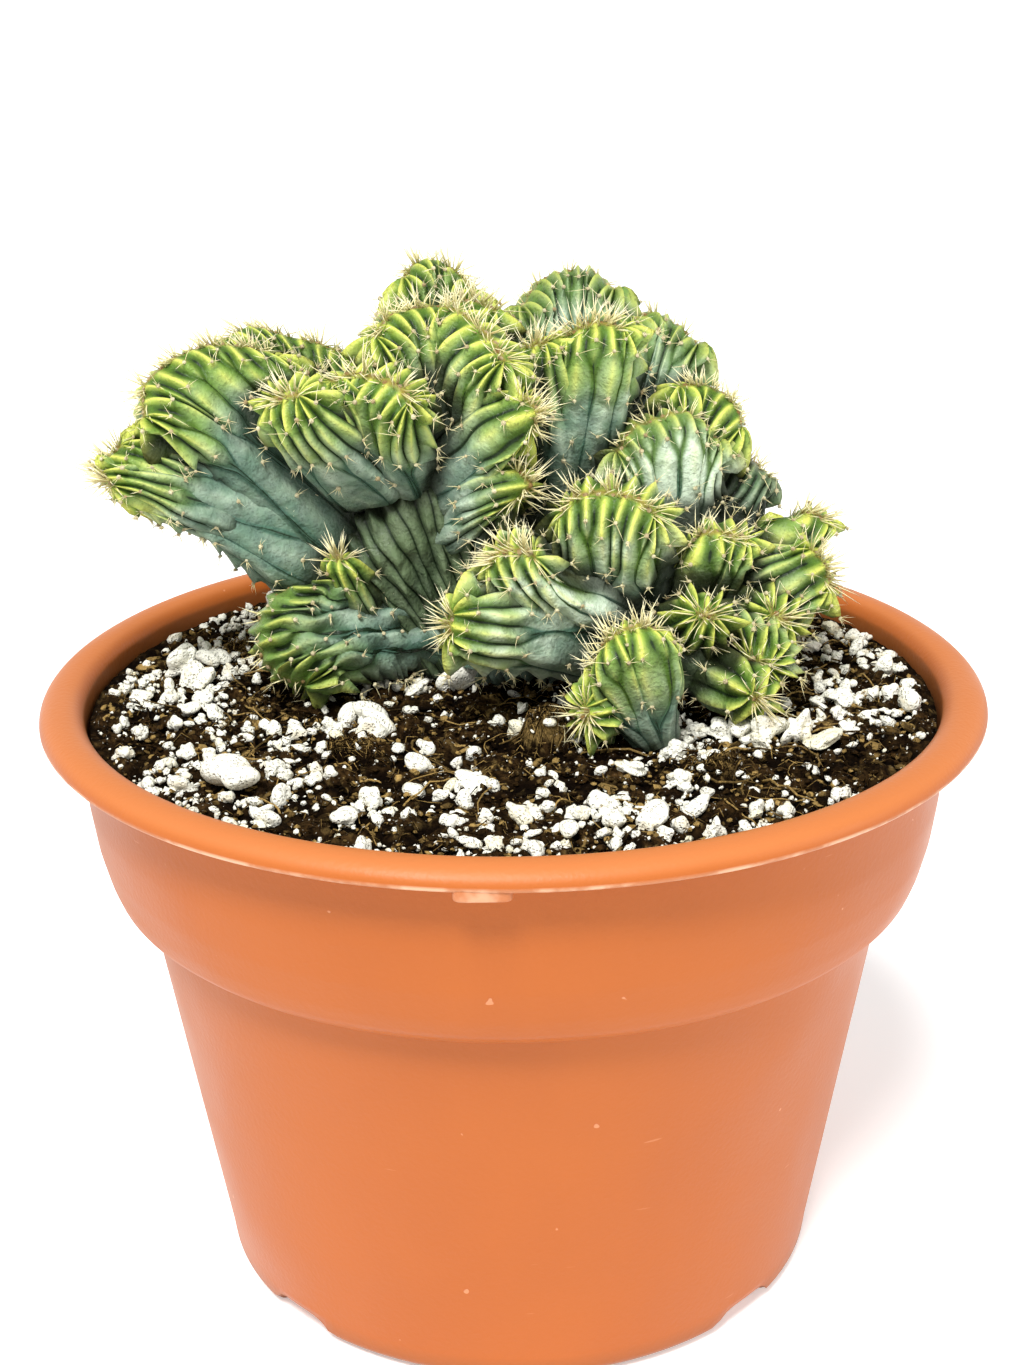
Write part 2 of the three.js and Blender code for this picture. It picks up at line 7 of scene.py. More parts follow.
import logging
import math
from dataclasses import dataclass, field
from enum import Enum

import bpy
import numpy as np
from mathutils import Matrix


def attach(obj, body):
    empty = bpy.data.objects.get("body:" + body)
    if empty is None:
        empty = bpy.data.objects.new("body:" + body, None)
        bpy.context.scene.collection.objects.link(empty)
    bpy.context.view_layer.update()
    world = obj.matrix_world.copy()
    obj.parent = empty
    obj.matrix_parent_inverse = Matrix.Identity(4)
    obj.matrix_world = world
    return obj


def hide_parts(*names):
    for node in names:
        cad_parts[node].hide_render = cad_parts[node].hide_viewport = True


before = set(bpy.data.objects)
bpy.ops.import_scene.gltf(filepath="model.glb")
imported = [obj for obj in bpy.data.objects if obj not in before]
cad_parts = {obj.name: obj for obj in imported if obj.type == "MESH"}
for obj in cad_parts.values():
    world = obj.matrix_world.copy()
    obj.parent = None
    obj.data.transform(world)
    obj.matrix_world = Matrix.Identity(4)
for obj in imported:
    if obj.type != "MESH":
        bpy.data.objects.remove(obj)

LOG = logging.getLogger("potted_cactus")
MM = 0.001
BODY = "root"
Array = np.ndarray
Random = np.random.Generator
Socket, NodeTree, Material = bpy.types.NodeSocket, bpy.types.NodeTree, bpy.types.Material
Triple = tuple[float, float, float]
Colour = Triple


class Slot(Enum):
    """Names for the part's material slots; nothing in this script uses them."""

    POT = "pot"
    SOIL = "soil"
    PERLITE = "perlite"
    CACTUS = "cactus"
    SPINE = "spine"
    AREOLE = "areole"


class Region(Enum):
    """Parts of the plant that are meshed together."""

    LEFT = "left"
    MIDDLE = "middle"
    TOP = "top"
    RIGHT = "right"
    FRONT = "front"
    LOW = "low"
    REAR = "rear"


# ---- small number helpers


def smooth(x: Array, low: float, high: float) -> Array:
    """Smooth step: 0 below low, 1 above high, with a level start and end between them."""
    t = np.clip((x - low) / (high - low), 0.0, 1.0)
    return t * t * (3.0 - 2.0 * t)


def mix(a: Array, b: Array, share: Array) -> Array:
    """Straight blend from a to b."""
    return a + (b - a) * share


def unit(v: Array) -> Array:
    """Vectors of length one."""
    return v / np.maximum(np.linalg.norm(v, axis=-1, keepdims=True), 1e-12)


def lattice(x: Array, y: Array, seed: float) -> Array:
    """Repeatable numbers 0 to 1 on whole-number places: the fraction of a large sine."""
    wave = np.sin(x * 127.1 + y * 311.7 + seed * 74.7) * 43758.5453
    return wave - np.floor(wave)


def relief(x: Array, y: Array, cell: float, seed: float) -> Array:
    """Value noise from -1 to 1: lattice numbers blended smoothly between the corners of each cell.

    Args:
        x: places along the first axis, in millimetres.
        y: places along the second axis.
        cell: the size of a lump.
        seed: picks the pattern.

    Returns:
        The height at each place.
    """
    i, j = np.floor(x / cell), np.floor(y / cell)
    a, b = smooth(x / cell - i, 0.0, 1.0), smooth(y / cell - j, 0.0, 1.0)
    low = mix(lattice(i, j, seed), lattice(i + 1, j, seed), a)
    high = mix(lattice(i, j + 1, seed), lattice(i + 1, j + 1, seed), a)
    return mix(low, high, b) * 2.0 - 1.0


def ripple(p: Array, wavelength: float, seed: int) -> Array:
    """Soft lumps in space, -1 to 1: the sum of five plane waves in random directions.

    Args:
        p: points, (..., 3), in millimetres.
        wavelength: the typical distance between lumps.
        seed: picks the directions.

    Returns:
        One number a point.
    """
    rng = np.random.default_rng(seed)
    ways = unit(rng.normal(size=(5, 3))) * (2 * math.pi / wavelength) * rng.uniform(0.7, 1.4, (5, 1))
    return np.sin(p @ ways.T + rng.uniform(0, 2 * math.pi, 5)).sum(-1) / 3.0


# ---- meshes


@dataclass
class Patch:
    """A bare surface: points, faces of three or four corners, and numbers kept at each point."""

    points: Array
    faces: list[Array]
    values: dict[str, Array] = field(default_factory=dict)

    @staticmethod
    def joined(patches: list["Patch"]) -> "Patch":
        """Puts patches into one, without welding them.

        Args:
            patches: the parts, all with the same values.

        Returns:
            The one patch.
        """
        starts = np.cumsum([0] + [len(p.points) for p in patches[:-1]])
        faces = [f + start for p, start in zip(patches, starts) for f in p.faces]
        keys = patches[0].values.keys()
        values = {k: np.concatenate([p.values[k] for p in patches]) for k in keys}
        return Patch(np.concatenate([p.points for p in patches]), faces, values)


def grid_faces(index: Array, wrap: bool) -> Array:
    """Four-cornered faces between the rows and columns of a grid of point numbers.

    Args:
        index: the point numbers, row by row.
        wrap: whether the last column meets the first.

    Returns:
        The faces, four corners each.
    """
    ring = np.concatenate([index, index[:, :1]], axis=1) if wrap else index
    a, b = ring[:-1, :-1], ring[:-1, 1:]
    c, d = ring[1:, 1:], ring[1:, :-1]
    return np.stack([a, b, c, d], axis=-1).reshape(-1, 4)


def put_mesh(name: str, patch: Patch, material: Material) -> bpy.types.Object:
    """Makes one Blender object from a patch, smooth shaded, that rides with the pot.

    Args:
        name: the piece's name.
        patch: its surface in millimetres; its values become float attributes.
        material: its finish.

    Returns:
        The new object.
    """
    loops = np.concatenate([f.reshape(-1) for f in patch.faces]).astype(np.int32)
    sizes = np.concatenate([np.full(len(f), f.shape[1], np.int32) for f in patch.faces])
    mesh = bpy.data.meshes.new(name)
    mesh.vertices.add(len(patch.points))
    mesh.vertices.foreach_set("co", (patch.points * MM).astype(np.float32).ravel())
    mesh.loops.add(len(loops))
    mesh.loops.foreach_set("vertex_index", loops)
    mesh.polygons.add(len(sizes))
    mesh.polygons.foreach_set("loop_start", (np.cumsum(sizes) - sizes).astype(np.int32))
    mesh.polygons.foreach_set("use_smooth", np.ones(len(sizes), bool))
    mesh.update(calc_edges=True)
    for key, numbers in patch.values.items():
        layer = mesh.attributes.new(key, "FLOAT", "POINT")
        layer.data.foreach_set("value", numbers.astype(np.float32).ravel())
    mesh.materials.append(material)
    piece = bpy.data.objects.new(name, mesh)
    bpy.context.scene.collection.objects.link(piece)
    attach(piece, BODY)
    LOG.info("%s: %d triangles", name, int((sizes - 2).sum()))
    return piece


def ball(steps: int) -> Patch:
    """A round ball of radius one from an icosahedron, each face cut into four as often as steps says.

    Args:
        steps: how often its faces are cut.

    Returns:
        The ball.
    """
    g = (1 + math.sqrt(5)) / 2
    corners = [(-1, g, 0), (1, g, 0), (-1, -g, 0), (1, -g, 0)]
    corners += [(0, -1, g), (0, 1, g), (0, -1, -g), (0, 1, -g)]
    corners += [(g, 0, -1), (g, 0, 1), (-g, 0, -1), (-g, 0, 1)]
    text = "0 11 5 0 5 1 0 1 7 0 7 10 0 10 11 1 5 9 5 11 4 11 10 2 10 7 6 7 1 8 "
    text += "3 9 4 3 4 2 3 2 6 3 6 8 3 8 9 4 9 5 2 4 11 6 2 10 8 6 7 9 8 1"
    points, faces = unit(np.array(corners, float)), np.array(text.split(), int).reshape(-1, 3)
    for _ in range(steps):
        a, b, c = points[faces[:, 0]], points[faces[:, 1]], points[faces[:, 2]]
        ab, bc, ca = unit(a + b), unit(b + c), unit(c + a)
        soup = np.stack([a, ab, ca, ab, b, bc, ca, bc, c, ab, bc, ca], axis=1).reshape(-1, 3)
        rounded, inverse = np.unique(np.round(soup, 5), axis=0, return_inverse=True)
        points, faces = unit(rounded), inverse.reshape(-1, 3)
    return Patch(points, [faces])


def fan(ring: Array, middle: int) -> Array:
    """Triangles that close a ring of point numbers to a middle point."""
    return np.stack([ring, np.roll(ring, -1), np.full(len(ring), middle)], axis=1)


def turned(profile: Array, around: int) -> tuple[Array, Array]:
    """A profile turned about the Z axis: each [radius, height] pair becomes a ring of points.

    Args:
        profile: (n, 2) pairs from the inside of the bottom, out, up and in again.
        around: how many points a ring has.

    Returns:
        Points as a (n, around, 3) grid and the grid of point numbers.
    """
    angle = np.arange(around) * (2 * math.pi / around)
    x = profile[:, :1] * np.cos(angle)
    y = profile[:, :1] * np.sin(angle)
    z = np.repeat(profile[:, 1:], around, axis=1)
    return np.stack([x, y, z], axis=-1), np.arange(len(profile) * around).reshape(-1, around)


def filleted(profile: Array, cut: float) -> Array:
    """A profile with its corners rounded: each inner corner becomes five points of a quadratic curve.

    Args:
        profile: (n, 2) pairs of radius and height.
        cut: how far from the corner its sides are left at most.

    Returns:
        The rounded profile.
    """
    before, at, after = profile[:-2], profile[1:-1], profile[2:]
    back, on = before - at, after - at
    near = np.minimum(cut, 0.45 * np.linalg.norm(back, axis=1, keepdims=True))
    far = np.minimum(cut, 0.45 * np.linalg.norm(on, axis=1, keepdims=True))
    start, stop = at + unit(back) * near, at + unit(on) * far
    t = np.linspace(0, 1, 5)[None, :, None]
    curve = start[:, None] * (1 - t) ** 2 + at[:, None] * 2 * t * (1 - t) + stop[:, None] * t * t
    return np.concatenate([profile[:1], curve.reshape(-1, 2), profile[-1:]])


# ---- finishes


class Shading:
    """A material's nodes, with short calls for the ones used here."""

    MIX_COLOURS = (6, 7)  # the colour inputs of a Mix node, whose names are shared with its other kinds
    MIX_RESULT = 2  # and its colour output

    def __init__(self, name: str, roughness: float, sheen: float = 0.0, specular: float = 0.5) -> None:
        """Starts a material with one surface shader.

        Args:
            name: the material's name.
            roughness: its plain roughness.
            sheen: its sheen, 0 to 1.
            specular: how strongly it mirrors, 0 to 1.
        """
        self.material = bpy.data.materials.new(name)
        self.material.use_nodes = True
        self.tree = self.material.node_tree
        self.surface = self.tree.nodes["Principled BSDF"]
        self.surface.inputs["Roughness"].default_value = roughness
        self.surface.inputs["Sheen Weight"].default_value = sheen
        self.surface.inputs["Specular IOR Level"].default_value = specular
        self.where = self.node("ShaderNodeTexCoord").outputs["Object"]

    def node(self, kind: str, **settings: object) -> bpy.types.Node:
        """A new node.

        Args:
            kind: Blender's name of the node.
            settings: the node's own properties.

        Returns:
            The node.
        """
        made = self.tree.nodes.new(kind)
        for key, value in settings.items():
            setattr(made, key, value)
        return made

    def feed(self, socket: Socket, value: object) -> None:
        """Gives an input a link or a plain value.

        Args:
            socket: the input.
            value: another node's output, or a number or colour.
        """
        if isinstance(value, Socket):
            self.tree.links.new(value, socket)
        elif isinstance(value, tuple) and len(value) == 3 and socket.type == "RGBA":
            socket.default_value = (*value, 1.0)
        else:
            socket.default_value = value

    def stored(self, key: str) -> Socket:
        """A number kept at the mesh's points."""
        return self.node("ShaderNodeAttribute", attribute_name=key).outputs["Fac"]

    def noise(self, scale: float, detail: float = 3.0,
              stretch: Triple | None = None) -> Socket:
        """Soft noise, 0 to 1, stretched if asked.

        Args:
            scale: lumps a metre.
            detail: how many finer layers it has.
            stretch: factors along the three axes.

        Returns:
            The noise.
        """
        made = self.node("ShaderNodeTexNoise")
        made.inputs["Scale"].default_value = scale
        made.inputs["Detail"].default_value = detail
        place = self.where
        if stretch:
            mapping = self.node("ShaderNodeMapping")
            self.feed(mapping.inputs["Vector"], place)
            mapping.inputs["Scale"].default_value = stretch
            place = mapping.outputs["Vector"]
        self.feed(made.inputs["Vector"], place)
        return made.outputs["Fac"]

    def cells(self, scale: float, randomness: float = 1.0) -> Socket:
        """Distance to the nearest of scattered points.

        Args:
            scale: points a metre.
            randomness: 0 for a plain grid of them, 1 for none.

        Returns:
            The distance.
        """
        made = self.node("ShaderNodeTexVoronoi")
        made.inputs["Scale"].default_value = scale
        made.inputs["Randomness"].default_value = randomness
        self.feed(made.inputs["Vector"], self.where)
        return made.outputs["Distance"]

    def sum(self, kind: str, a: object, b: object, clamp: bool = False) -> Socket:
        """Arithmetic of two numbers.

        Args:
            kind: Blender's name of the operation.
            a: the first number.
            b: the second.
            clamp: whether the result is held between 0 and 1.

        Returns:
            The result.
        """
        made = self.node("ShaderNodeMath", operation=kind, use_clamp=clamp)
        self.feed(made.inputs[0], a)
        self.feed(made.inputs[1], b)
        return made.outputs[0]

    def times(self, a: object, b: object, clamp: bool = False) -> Socket:
        """The product of two numbers, held between 0 and 1 if clamp is set."""
        return self.sum("MULTIPLY", a, b, clamp)

    def span(self, value: object, low: float, high: float, to_low: float = 0.0,
             to_high: float = 1.0) -> Socket:
        """Moves low..high smoothly to to_low..to_high and holds the value outside.

        Args:
            value: the number to move.
            low: where it starts.
            high: where it stops.
            to_low: what low becomes.
            to_high: what high becomes.

        Returns:
            The moved number.
        """
        made = self.node("ShaderNodeMapRange", interpolation_type="SMOOTHSTEP")
        for socket, number in zip(made.inputs, (value, low, high, to_low, to_high)):
            self.feed(socket, number)
        return made.outputs["Result"]

    def blend(self, share: object, a: object, b: object, kind: str = "MIX") -> Socket:
        """Colour a turning to colour b as share goes from 0 to 1.

        Args:
            share: how much of b.
            a: the colour below.
            b: the colour above.
            kind: Blender's name of the way they mix.

        Returns:
            The mixed colour.
        """
        made = self.node("ShaderNodeMix", data_type="RGBA", blend_type=kind)
        self.feed(made.inputs["Factor"], share)
        for index, colour in zip(self.MIX_COLOURS, (a, b)):
            self.feed(made.inputs[index], colour)
        return made.outputs[self.MIX_RESULT]

    def speckled(self, group: NodeTree, patch_scale: float,
                 grain_scale: float) -> tuple[Socket, Socket]:
        """The shared speckle, placed in this material on the object's coordinates.

        Args:
            group: the speckle's nodes.
            patch_scale: patches a metre.
            grain_scale: grains a metre.

        Returns:
            Its soft patches and its fine grain, both 0 to 1.
        """
        made = self.node("ShaderNodeGroup", node_tree=group)
        self.feed(made.inputs["Place"], self.where)
        self.feed(made.inputs["Patch scale"], patch_scale)
        self.feed(made.inputs["Grain scale"], grain_scale)
        return made.outputs["Patches"], made.outputs["Grain"]

    def bumped(self, *layers: tuple[object, float]) -> None:
        """Bumps on the surface, each a height and its depth in millimetres, laid on each other."""
        normal = None
        for height, depth in layers:
            made = self.node("ShaderNodeBump")
            made.inputs["Distance"].default_value = depth * MM
            self.feed(made.inputs["Height"], height)
            if normal is not None:
                self.feed(made.inputs["Normal"], normal)
            normal = made.outputs["Normal"]
        self.feed(self.surface.inputs["Normal"], normal)

    def coloured(self, colour: object) -> None:
        """Links the base colour."""
        self.feed(self.surface.inputs["Base Color"], colour)


def speckle_group() -> NodeTree:
    """A shared effect: soft patches and fine grain at two scales, both 0 to 1.

    Returns:
        The effect's node group.
    """
    tree = bpy.data.node_groups.new("speckle", "ShaderNodeTree")
    tree.interface.new_socket("Place", in_out="INPUT", socket_type="NodeSocketVector")
    tree.interface.new_socket("Patch scale", in_out="INPUT", socket_type="NodeSocketFloat")
    tree.interface.new_socket("Grain scale", in_out="INPUT", socket_type="NodeSocketFloat")
    tree.interface.new_socket("Patches", in_out="OUTPUT", socket_type="NodeSocketFloat")
    tree.interface.new_socket("Grain", in_out="OUTPUT", socket_type="NodeSocketFloat")
    start, stop = tree.nodes.new("NodeGroupInput"), tree.nodes.new("NodeGroupOutput")
    for scale, out, detail in (("Patch scale", "Patches", 2.0), ("Grain scale", "Grain", 4.0)):
        noise = tree.nodes.new("ShaderNodeTexNoise")
        noise.inputs["Detail"].default_value = detail
        contrast = tree.nodes.new("ShaderNodeMapRange")
        contrast.inputs[1].default_value, contrast.inputs[2].default_value = 0.3, 0.7
        tree.links.new(start.outputs["Place"], noise.inputs["Vector"])
        tree.links.new(start.outputs[scale], noise.inputs["Scale"])
        tree.links.new(noise.outputs["Fac"], contrast.inputs[0])
        tree.links.new(contrast.outputs[0], stop.inputs[out])
    return tree


@dataclass(frozen=True)
class PotPlastic:
    """Terracotta-coloured matt plastic: faint mottling, mould marks, scuffs and small nicks."""

    base: Colour = (0.390, 0.096, 0.0130)
    pale: Colour = (0.46, 0.122, 0.021)
    deep: Colour = (0.34, 0.075, 0.010)
    # Paler orange of the painted highlight on the rim's top.
    lip: Colour = (0.55, 0.180, 0.053)
    worn: Colour = (0.86, 0.60, 0.40)
    # Dark brown of the dirt and painted shade, low and inside.
    stain: Colour = (0.13, 0.055, 0.02)
    scuff: Colour = (0.72, 0.34, 0.18)
    roughness: float = 0.42

    def build(self, speckle: NodeTree) -> Material:
        """The finish, from the stored values flash (the rim's sharp edge), lip (the rim's top, where a
        painted highlight lies) and grime (dirt and painted shade on the inner wall near the soil; darker
        towards the ground on the foot).

        Args:
            speckle: the shared patches and grain.

        Returns:
            The material.
        """
        look = Shading("pot_plastic", self.roughness, specular=0.26)
        patches, grain = look.speckled(speckle, 26.0, 900.0)
        colour = look.blend(look.times(patches, 0.35), self.base, self.pale)
        streaks = look.span(look.noise(38.0, 3.0, (1.0, 1.0, 0.06)), 0.45, 0.75, 0.0, 0.1)
        colour = look.blend(streaks, colour, self.deep)
        # Painted highlight: the rim's top is made paler, as where light falls on it.
        colour = look.blend(look.times(look.stored("lip"), 0.75), colour, self.lip)
        nicks = look.span(look.noise(210.0, 2.0), 0.755, 0.775, 0.0, 0.5)
        colour = look.blend(nicks, colour, self.scuff)
        scratch = look.span(look.noise(160.0, 2.0, (0.3, 0.3, 2.6)), 0.745, 0.77, 0.0, 0.25)
        colour = look.blend(scratch, colour, self.scuff)
        wear = look.span(look.noise(120.0, 4.0), 0.42, 0.6, 0.25, 1.0)
        worn = look.times(look.stored("flash"), wear)
        colour = look.blend(worn, colour, self.worn)
        # Dirt and painted shade on the inner wall near the soil; the foot darker towards the ground.
        colour = look.blend(look.times(look.stored("grime"), 0.75), colour, self.stain)
        look.coloured(colour)
        rough = look.span(patches, 0.0, 1.0, self.roughness - 0.05, self.roughness + 0.07)
        look.feed(look.surface.inputs["Roughness"], rough)
        waves = look.noise(14.0, 1.0, (1.0, 1.0, 0.35))
        look.bumped((waves, 0.5), (grain, 0.035), (nicks, -0.12), (scratch, 0.05))
        return look.material


@dataclass(frozen=True)
class Peat:
    """Crumbly dark brown peat with paler fibres in it."""

    dark: Colour = (0.004, 0.002, 0.001)
    brown: Colour = (0.084, 0.045, 0.014)
    straw: Colour = (0.46, 0.30, 0.10)
    dust: Colour = (0.80, 0.76, 0.64)

    def build(self, speckle: NodeTree) -> Material:
        """The finish, from the stored values tone (dark to straw) and deep (painted shade in the gaps
        between crumbs).

        Args:
            speckle: the shared patches and grain.

        Returns:
            The material.
        """
        look = Shading("peat", 0.95, specular=0.03)
        patches, grain = look.speckled(speckle, 120.0, 900.0)
        colour = look.blend(look.times(patches, grain), self.dark, self.brown)
        fibre = look.span(look.noise(520.0, 3.0, (1.0, 0.35, 1.0)), 0.55, 0.66, 0.0, 0.9)
        colour = look.blend(look.times(fibre, look.stored("tone"), True), colour, self.straw)
        dust = look.span(look.noise(1300.0, 3.0), 0.66, 0.72, 0.0, 0.8)
        colour = look.blend(look.times(dust, look.span(patches, 0.2, 0.7)), colour, self.dust)
        colour = look.blend(look.span(look.stored("tone"), 0.55, 1.0, 0.0, 0.8), colour, self.straw)
        # Painted shade in the gaps between crumbs.
        colour = look.blend(look.stored("deep"), colour, self.dark)
        look.coloured(colour)
        look.bumped((look.cells(500.0), 1.2), (look.noise(1500.0, 4.0), 0.8))
        return look.material


@dataclass(frozen=True)
class PerliteWhite:
    """White, porous, slightly dusty grains."""

    white: Colour = (0.89, 0.87, 0.75)
    dust: Colour = (0.60, 0.49, 0.27)
    yellow: Colour = (0.80, 0.74, 0.50)

    def build(self, speckle: NodeTree) -> Material:
        """The finish, from the stored values tone (high on the few yellowed grains) and low (the soiled
        share near the ground).

        Args:
            speckle: the shared patches and grain.

        Returns:
            The material.
        """
        look = Shading("perlite", 0.9)
        patches, grain = look.speckled(speckle, 260.0, 1400.0)
        dirt = look.times(look.span(patches, 0.62, 1.0), 0.45)
        colour = look.blend(dirt, self.white, self.dust)
        colour = look.blend(look.span(look.stored("tone"), 0.9, 1.0, 0.0, 0.7), colour, self.yellow)
        colour = look.blend(look.span(look.stored("low"), 0.25, 0.9, 0.0, 0.75), colour, self.dust)
        look.coloured(colour)
        pores = look.span(look.cells(1300.0), 0.1, 0.5)
        look.bumped((pores, 0.35), (grain, 0.15))
        return look.material


@dataclass(frozen=True)
class CactusSkin:
    """Waxy skin: yellow along the young ridges, where the yellow line is also a painted highlight, green
    below them, blue-green with pale bloom on old growth, laid heaviest on the ridge tops as a painted
    highlight, dried purple-grey where it shrivels, corky grey-green on the trunk, and painted shade in the
    grooves, in the valleys of young ribs, low on each head and where surfaces crowd together.
    """

    # Yellow of young ridges; along their sharp backs it is also a painted highlight.
    yellow: Colour = (0.76, 0.76, 0.15)
    fresh: Colour = (0.175, 0.286, 0.041)
    valley: Colour = (0.050, 0.110, 0.014)
    old: Colour = (0.071, 0.145, 0.106)
    # Pale bloom; laid heaviest on the ridge tops, it is also a painted highlight.
    bloom: Colour = (0.60, 0.71, 0.55)
    wool: Colour = (0.26, 0.20, 0.045)
    shrivelled: Colour = (0.24, 0.19, 0.19)
    cork: Colour = (0.140, 0.180, 0.090)
    groove: Colour = (0.008, 0.018, 0.006)
    hollow: Colour = (0.010, 0.013, 0.006)
    roughness: float = 0.4

    def build(self, speckle: NodeTree) -> Material:
        """The finish, from the values that HeadForm.skin stores: youth, ridge, keel, crown, crease, shade,
        wax, dry and bark, and hollow from Crowding.

        Args:
            speckle: the shared patches and grain.

        Returns:
            The material.
        """
        look = Shading("cactus_skin", self.roughness, specular=0.22)
        patches, grain = look.speckled(speckle, 170.0, 1500.0)
        youth, ridge = look.stored("youth"), look.stored("ridge")
        colour = look.blend(look.span(youth, 0.0, 0.7), self.old, self.fresh)
        # Painted shade in the valleys between the young ribs.
        sunk = look.span(ridge, 0.05, 0.95, 0.85, 0.0)
        colour = look.blend(look.times(sunk, look.span(youth, 0.1, 0.8)), colour, self.valley)
        # Pale bloom, heaviest on the ridges' sharp backs and kept out of the valleys; on the ridges it is
        # also a painted highlight.
        wax = look.times(look.stored("wax"), look.span(patches, 0.1, 0.9, 0.35, 1.0))
        wax = look.times(wax, look.span(ridge, 0.05, 0.6))
        colour = look.blend(wax, colour, self.bloom)
        # Yellow line along each ridge's sharp back: young colour and a painted highlight together.
        gold_and_highlight = look.times(look.stored("keel"), look.span(youth, 0.1, 0.7))
        colour = look.blend(look.times(gold_and_highlight, 0.9), colour, self.yellow)
        colour = look.blend(look.stored("dry"), colour, self.shrivelled)
        rough_bark = look.noise(160.0, 4.0, (1.0, 1.0, 0.25))
        cork = look.blend(look.span(rough_bark, 0.25, 0.6, 0.35, 1.0), self.groove, self.cork)
        colour = look.blend(look.times(look.stored("bark"), 0.85), colour, cork)
        crease = look.stored("crease")
        # Painted shade: a soft dark band over each groove and a thin dark line at its bottom.
        colour = look.blend(look.span(crease, 0.35, 1.0, 0.0, 0.5), colour, self.groove)
        colour = look.blend(look.span(crease, 0.8, 0.95, 0.0, 0.92), colour, self.groove)
        colour = look.blend(look.times(look.stored("shade"), 0.45), colour, self.groove)
        mottle = look.span(look.noise(330.0, 5.0), 0.38, 0.66)
        colour = look.blend(look.times(mottle, 0.3), colour, self.bloom, "SOFT_LIGHT")
        between = look.span(mottle, 0.3, 1.0, 0.3, 0.0)
        pores = look.times(look.span(grain, 0.55, 0.95), between)
        colour = look.blend(pores, colour, self.groove)
        colour = look.blend(look.stored("crown"), colour, self.wool)
        # Painted shade where other surfaces crowd close, and near the soil.
        colour = look.blend(look.times(look.stored("hollow"), 0.9), colour, self.hollow)
        look.coloured(colour)
        look.feed(look.surface.inputs["Roughness"], look.span(wax, 0.0, 0.7, self.roughness - 0.07, 0.62))
        look.bumped((look.noise(420.0, 4.0), 0.7), (grain, 0.12),
                    (look.times(look.stored("bark"), rough_bark), 2.0))
        return look.material


@dataclass(frozen=True)
class SpineStraw:
    """Stiff straw-coloured needles, brown at the foot and pale at the tip."""

    foot: Colour = (0.52, 0.34, 0.11)
    straw: Colour = (0.95, 0.87, 0.48)
    tip: Colour = (0.98, 0.95, 0.68)

    def build(self, speckle: NodeTree) -> Material:
        """The finish, from the stored value reach, 0 at the foot and 1 at the tip.

        Args:
            speckle: the shared patches and grain.

        Returns:
            The material.
        """
        look = Shading("spine", 0.38)
        patches, grain = look.speckled(speckle, 300.0, 2500.0)
        reach = look.stored("reach")
        colour = look.blend(look.span(reach, 0.0, 0.22), self.foot, self.straw)
        colour = look.blend(look.span(reach, 0.35, 1.0), colour, self.tip)
        colour = look.blend(look.times(patches, 0.25), colour, self.foot)
        look.coloured(colour)
        look.bumped((grain, 0.05))
        return look.material


@dataclass(frozen=True)
class AreoleFelt:
    """Short brown-cream wool."""

    brown: Colour = (0.33, 0.19, 0.045)
    cream: Colour = (0.88, 0.80, 0.50)

    def build(self, speckle: NodeTree) -> Material:
        """The finish; the stored value tone goes from brown to cream.

        Args:
            speckle: the shared patches and grain.

        Returns:
            The material.
        """
        look = Shading("areole_felt", 0.95, 0.08)
        patches, grain = look.speckled(speckle, 500.0, 3200.0)
        uneven = look.span(patches, 0.0, 1.0, -0.3, 0.3)
        share = look.sum("ADD", look.stored("tone"), uneven, True)
        look.coloured(look.blend(share, self.brown, self.cream))
        look.bumped((grain, 0.4))
        return look.material


@dataclass(frozen=True)
class PaleGround:
    """The plain pale floor."""

    pale: Colour = (0.93, 0.93, 0.925)
    greyer: Colour = (0.91, 0.91, 0.905)
    glow: float = 0.35

    def build(self) -> Material:
        """The finish: nearly white, a little uneven.

        Returns:
            The material.
        """
        look = Shading("pale_ground", 0.9)
        uneven = look.span(look.noise(3.0), 0.3, 0.7, 0.0, 0.2)
        look.coloured(look.blend(uneven, self.pale, self.greyer))
        look.surface.inputs["Emission Color"].default_value = (1.0, 1.0, 1.0, 1.0)
        look.surface.inputs["Emission Strength"].default_value = self.glow
        return look.material


# ---- pot


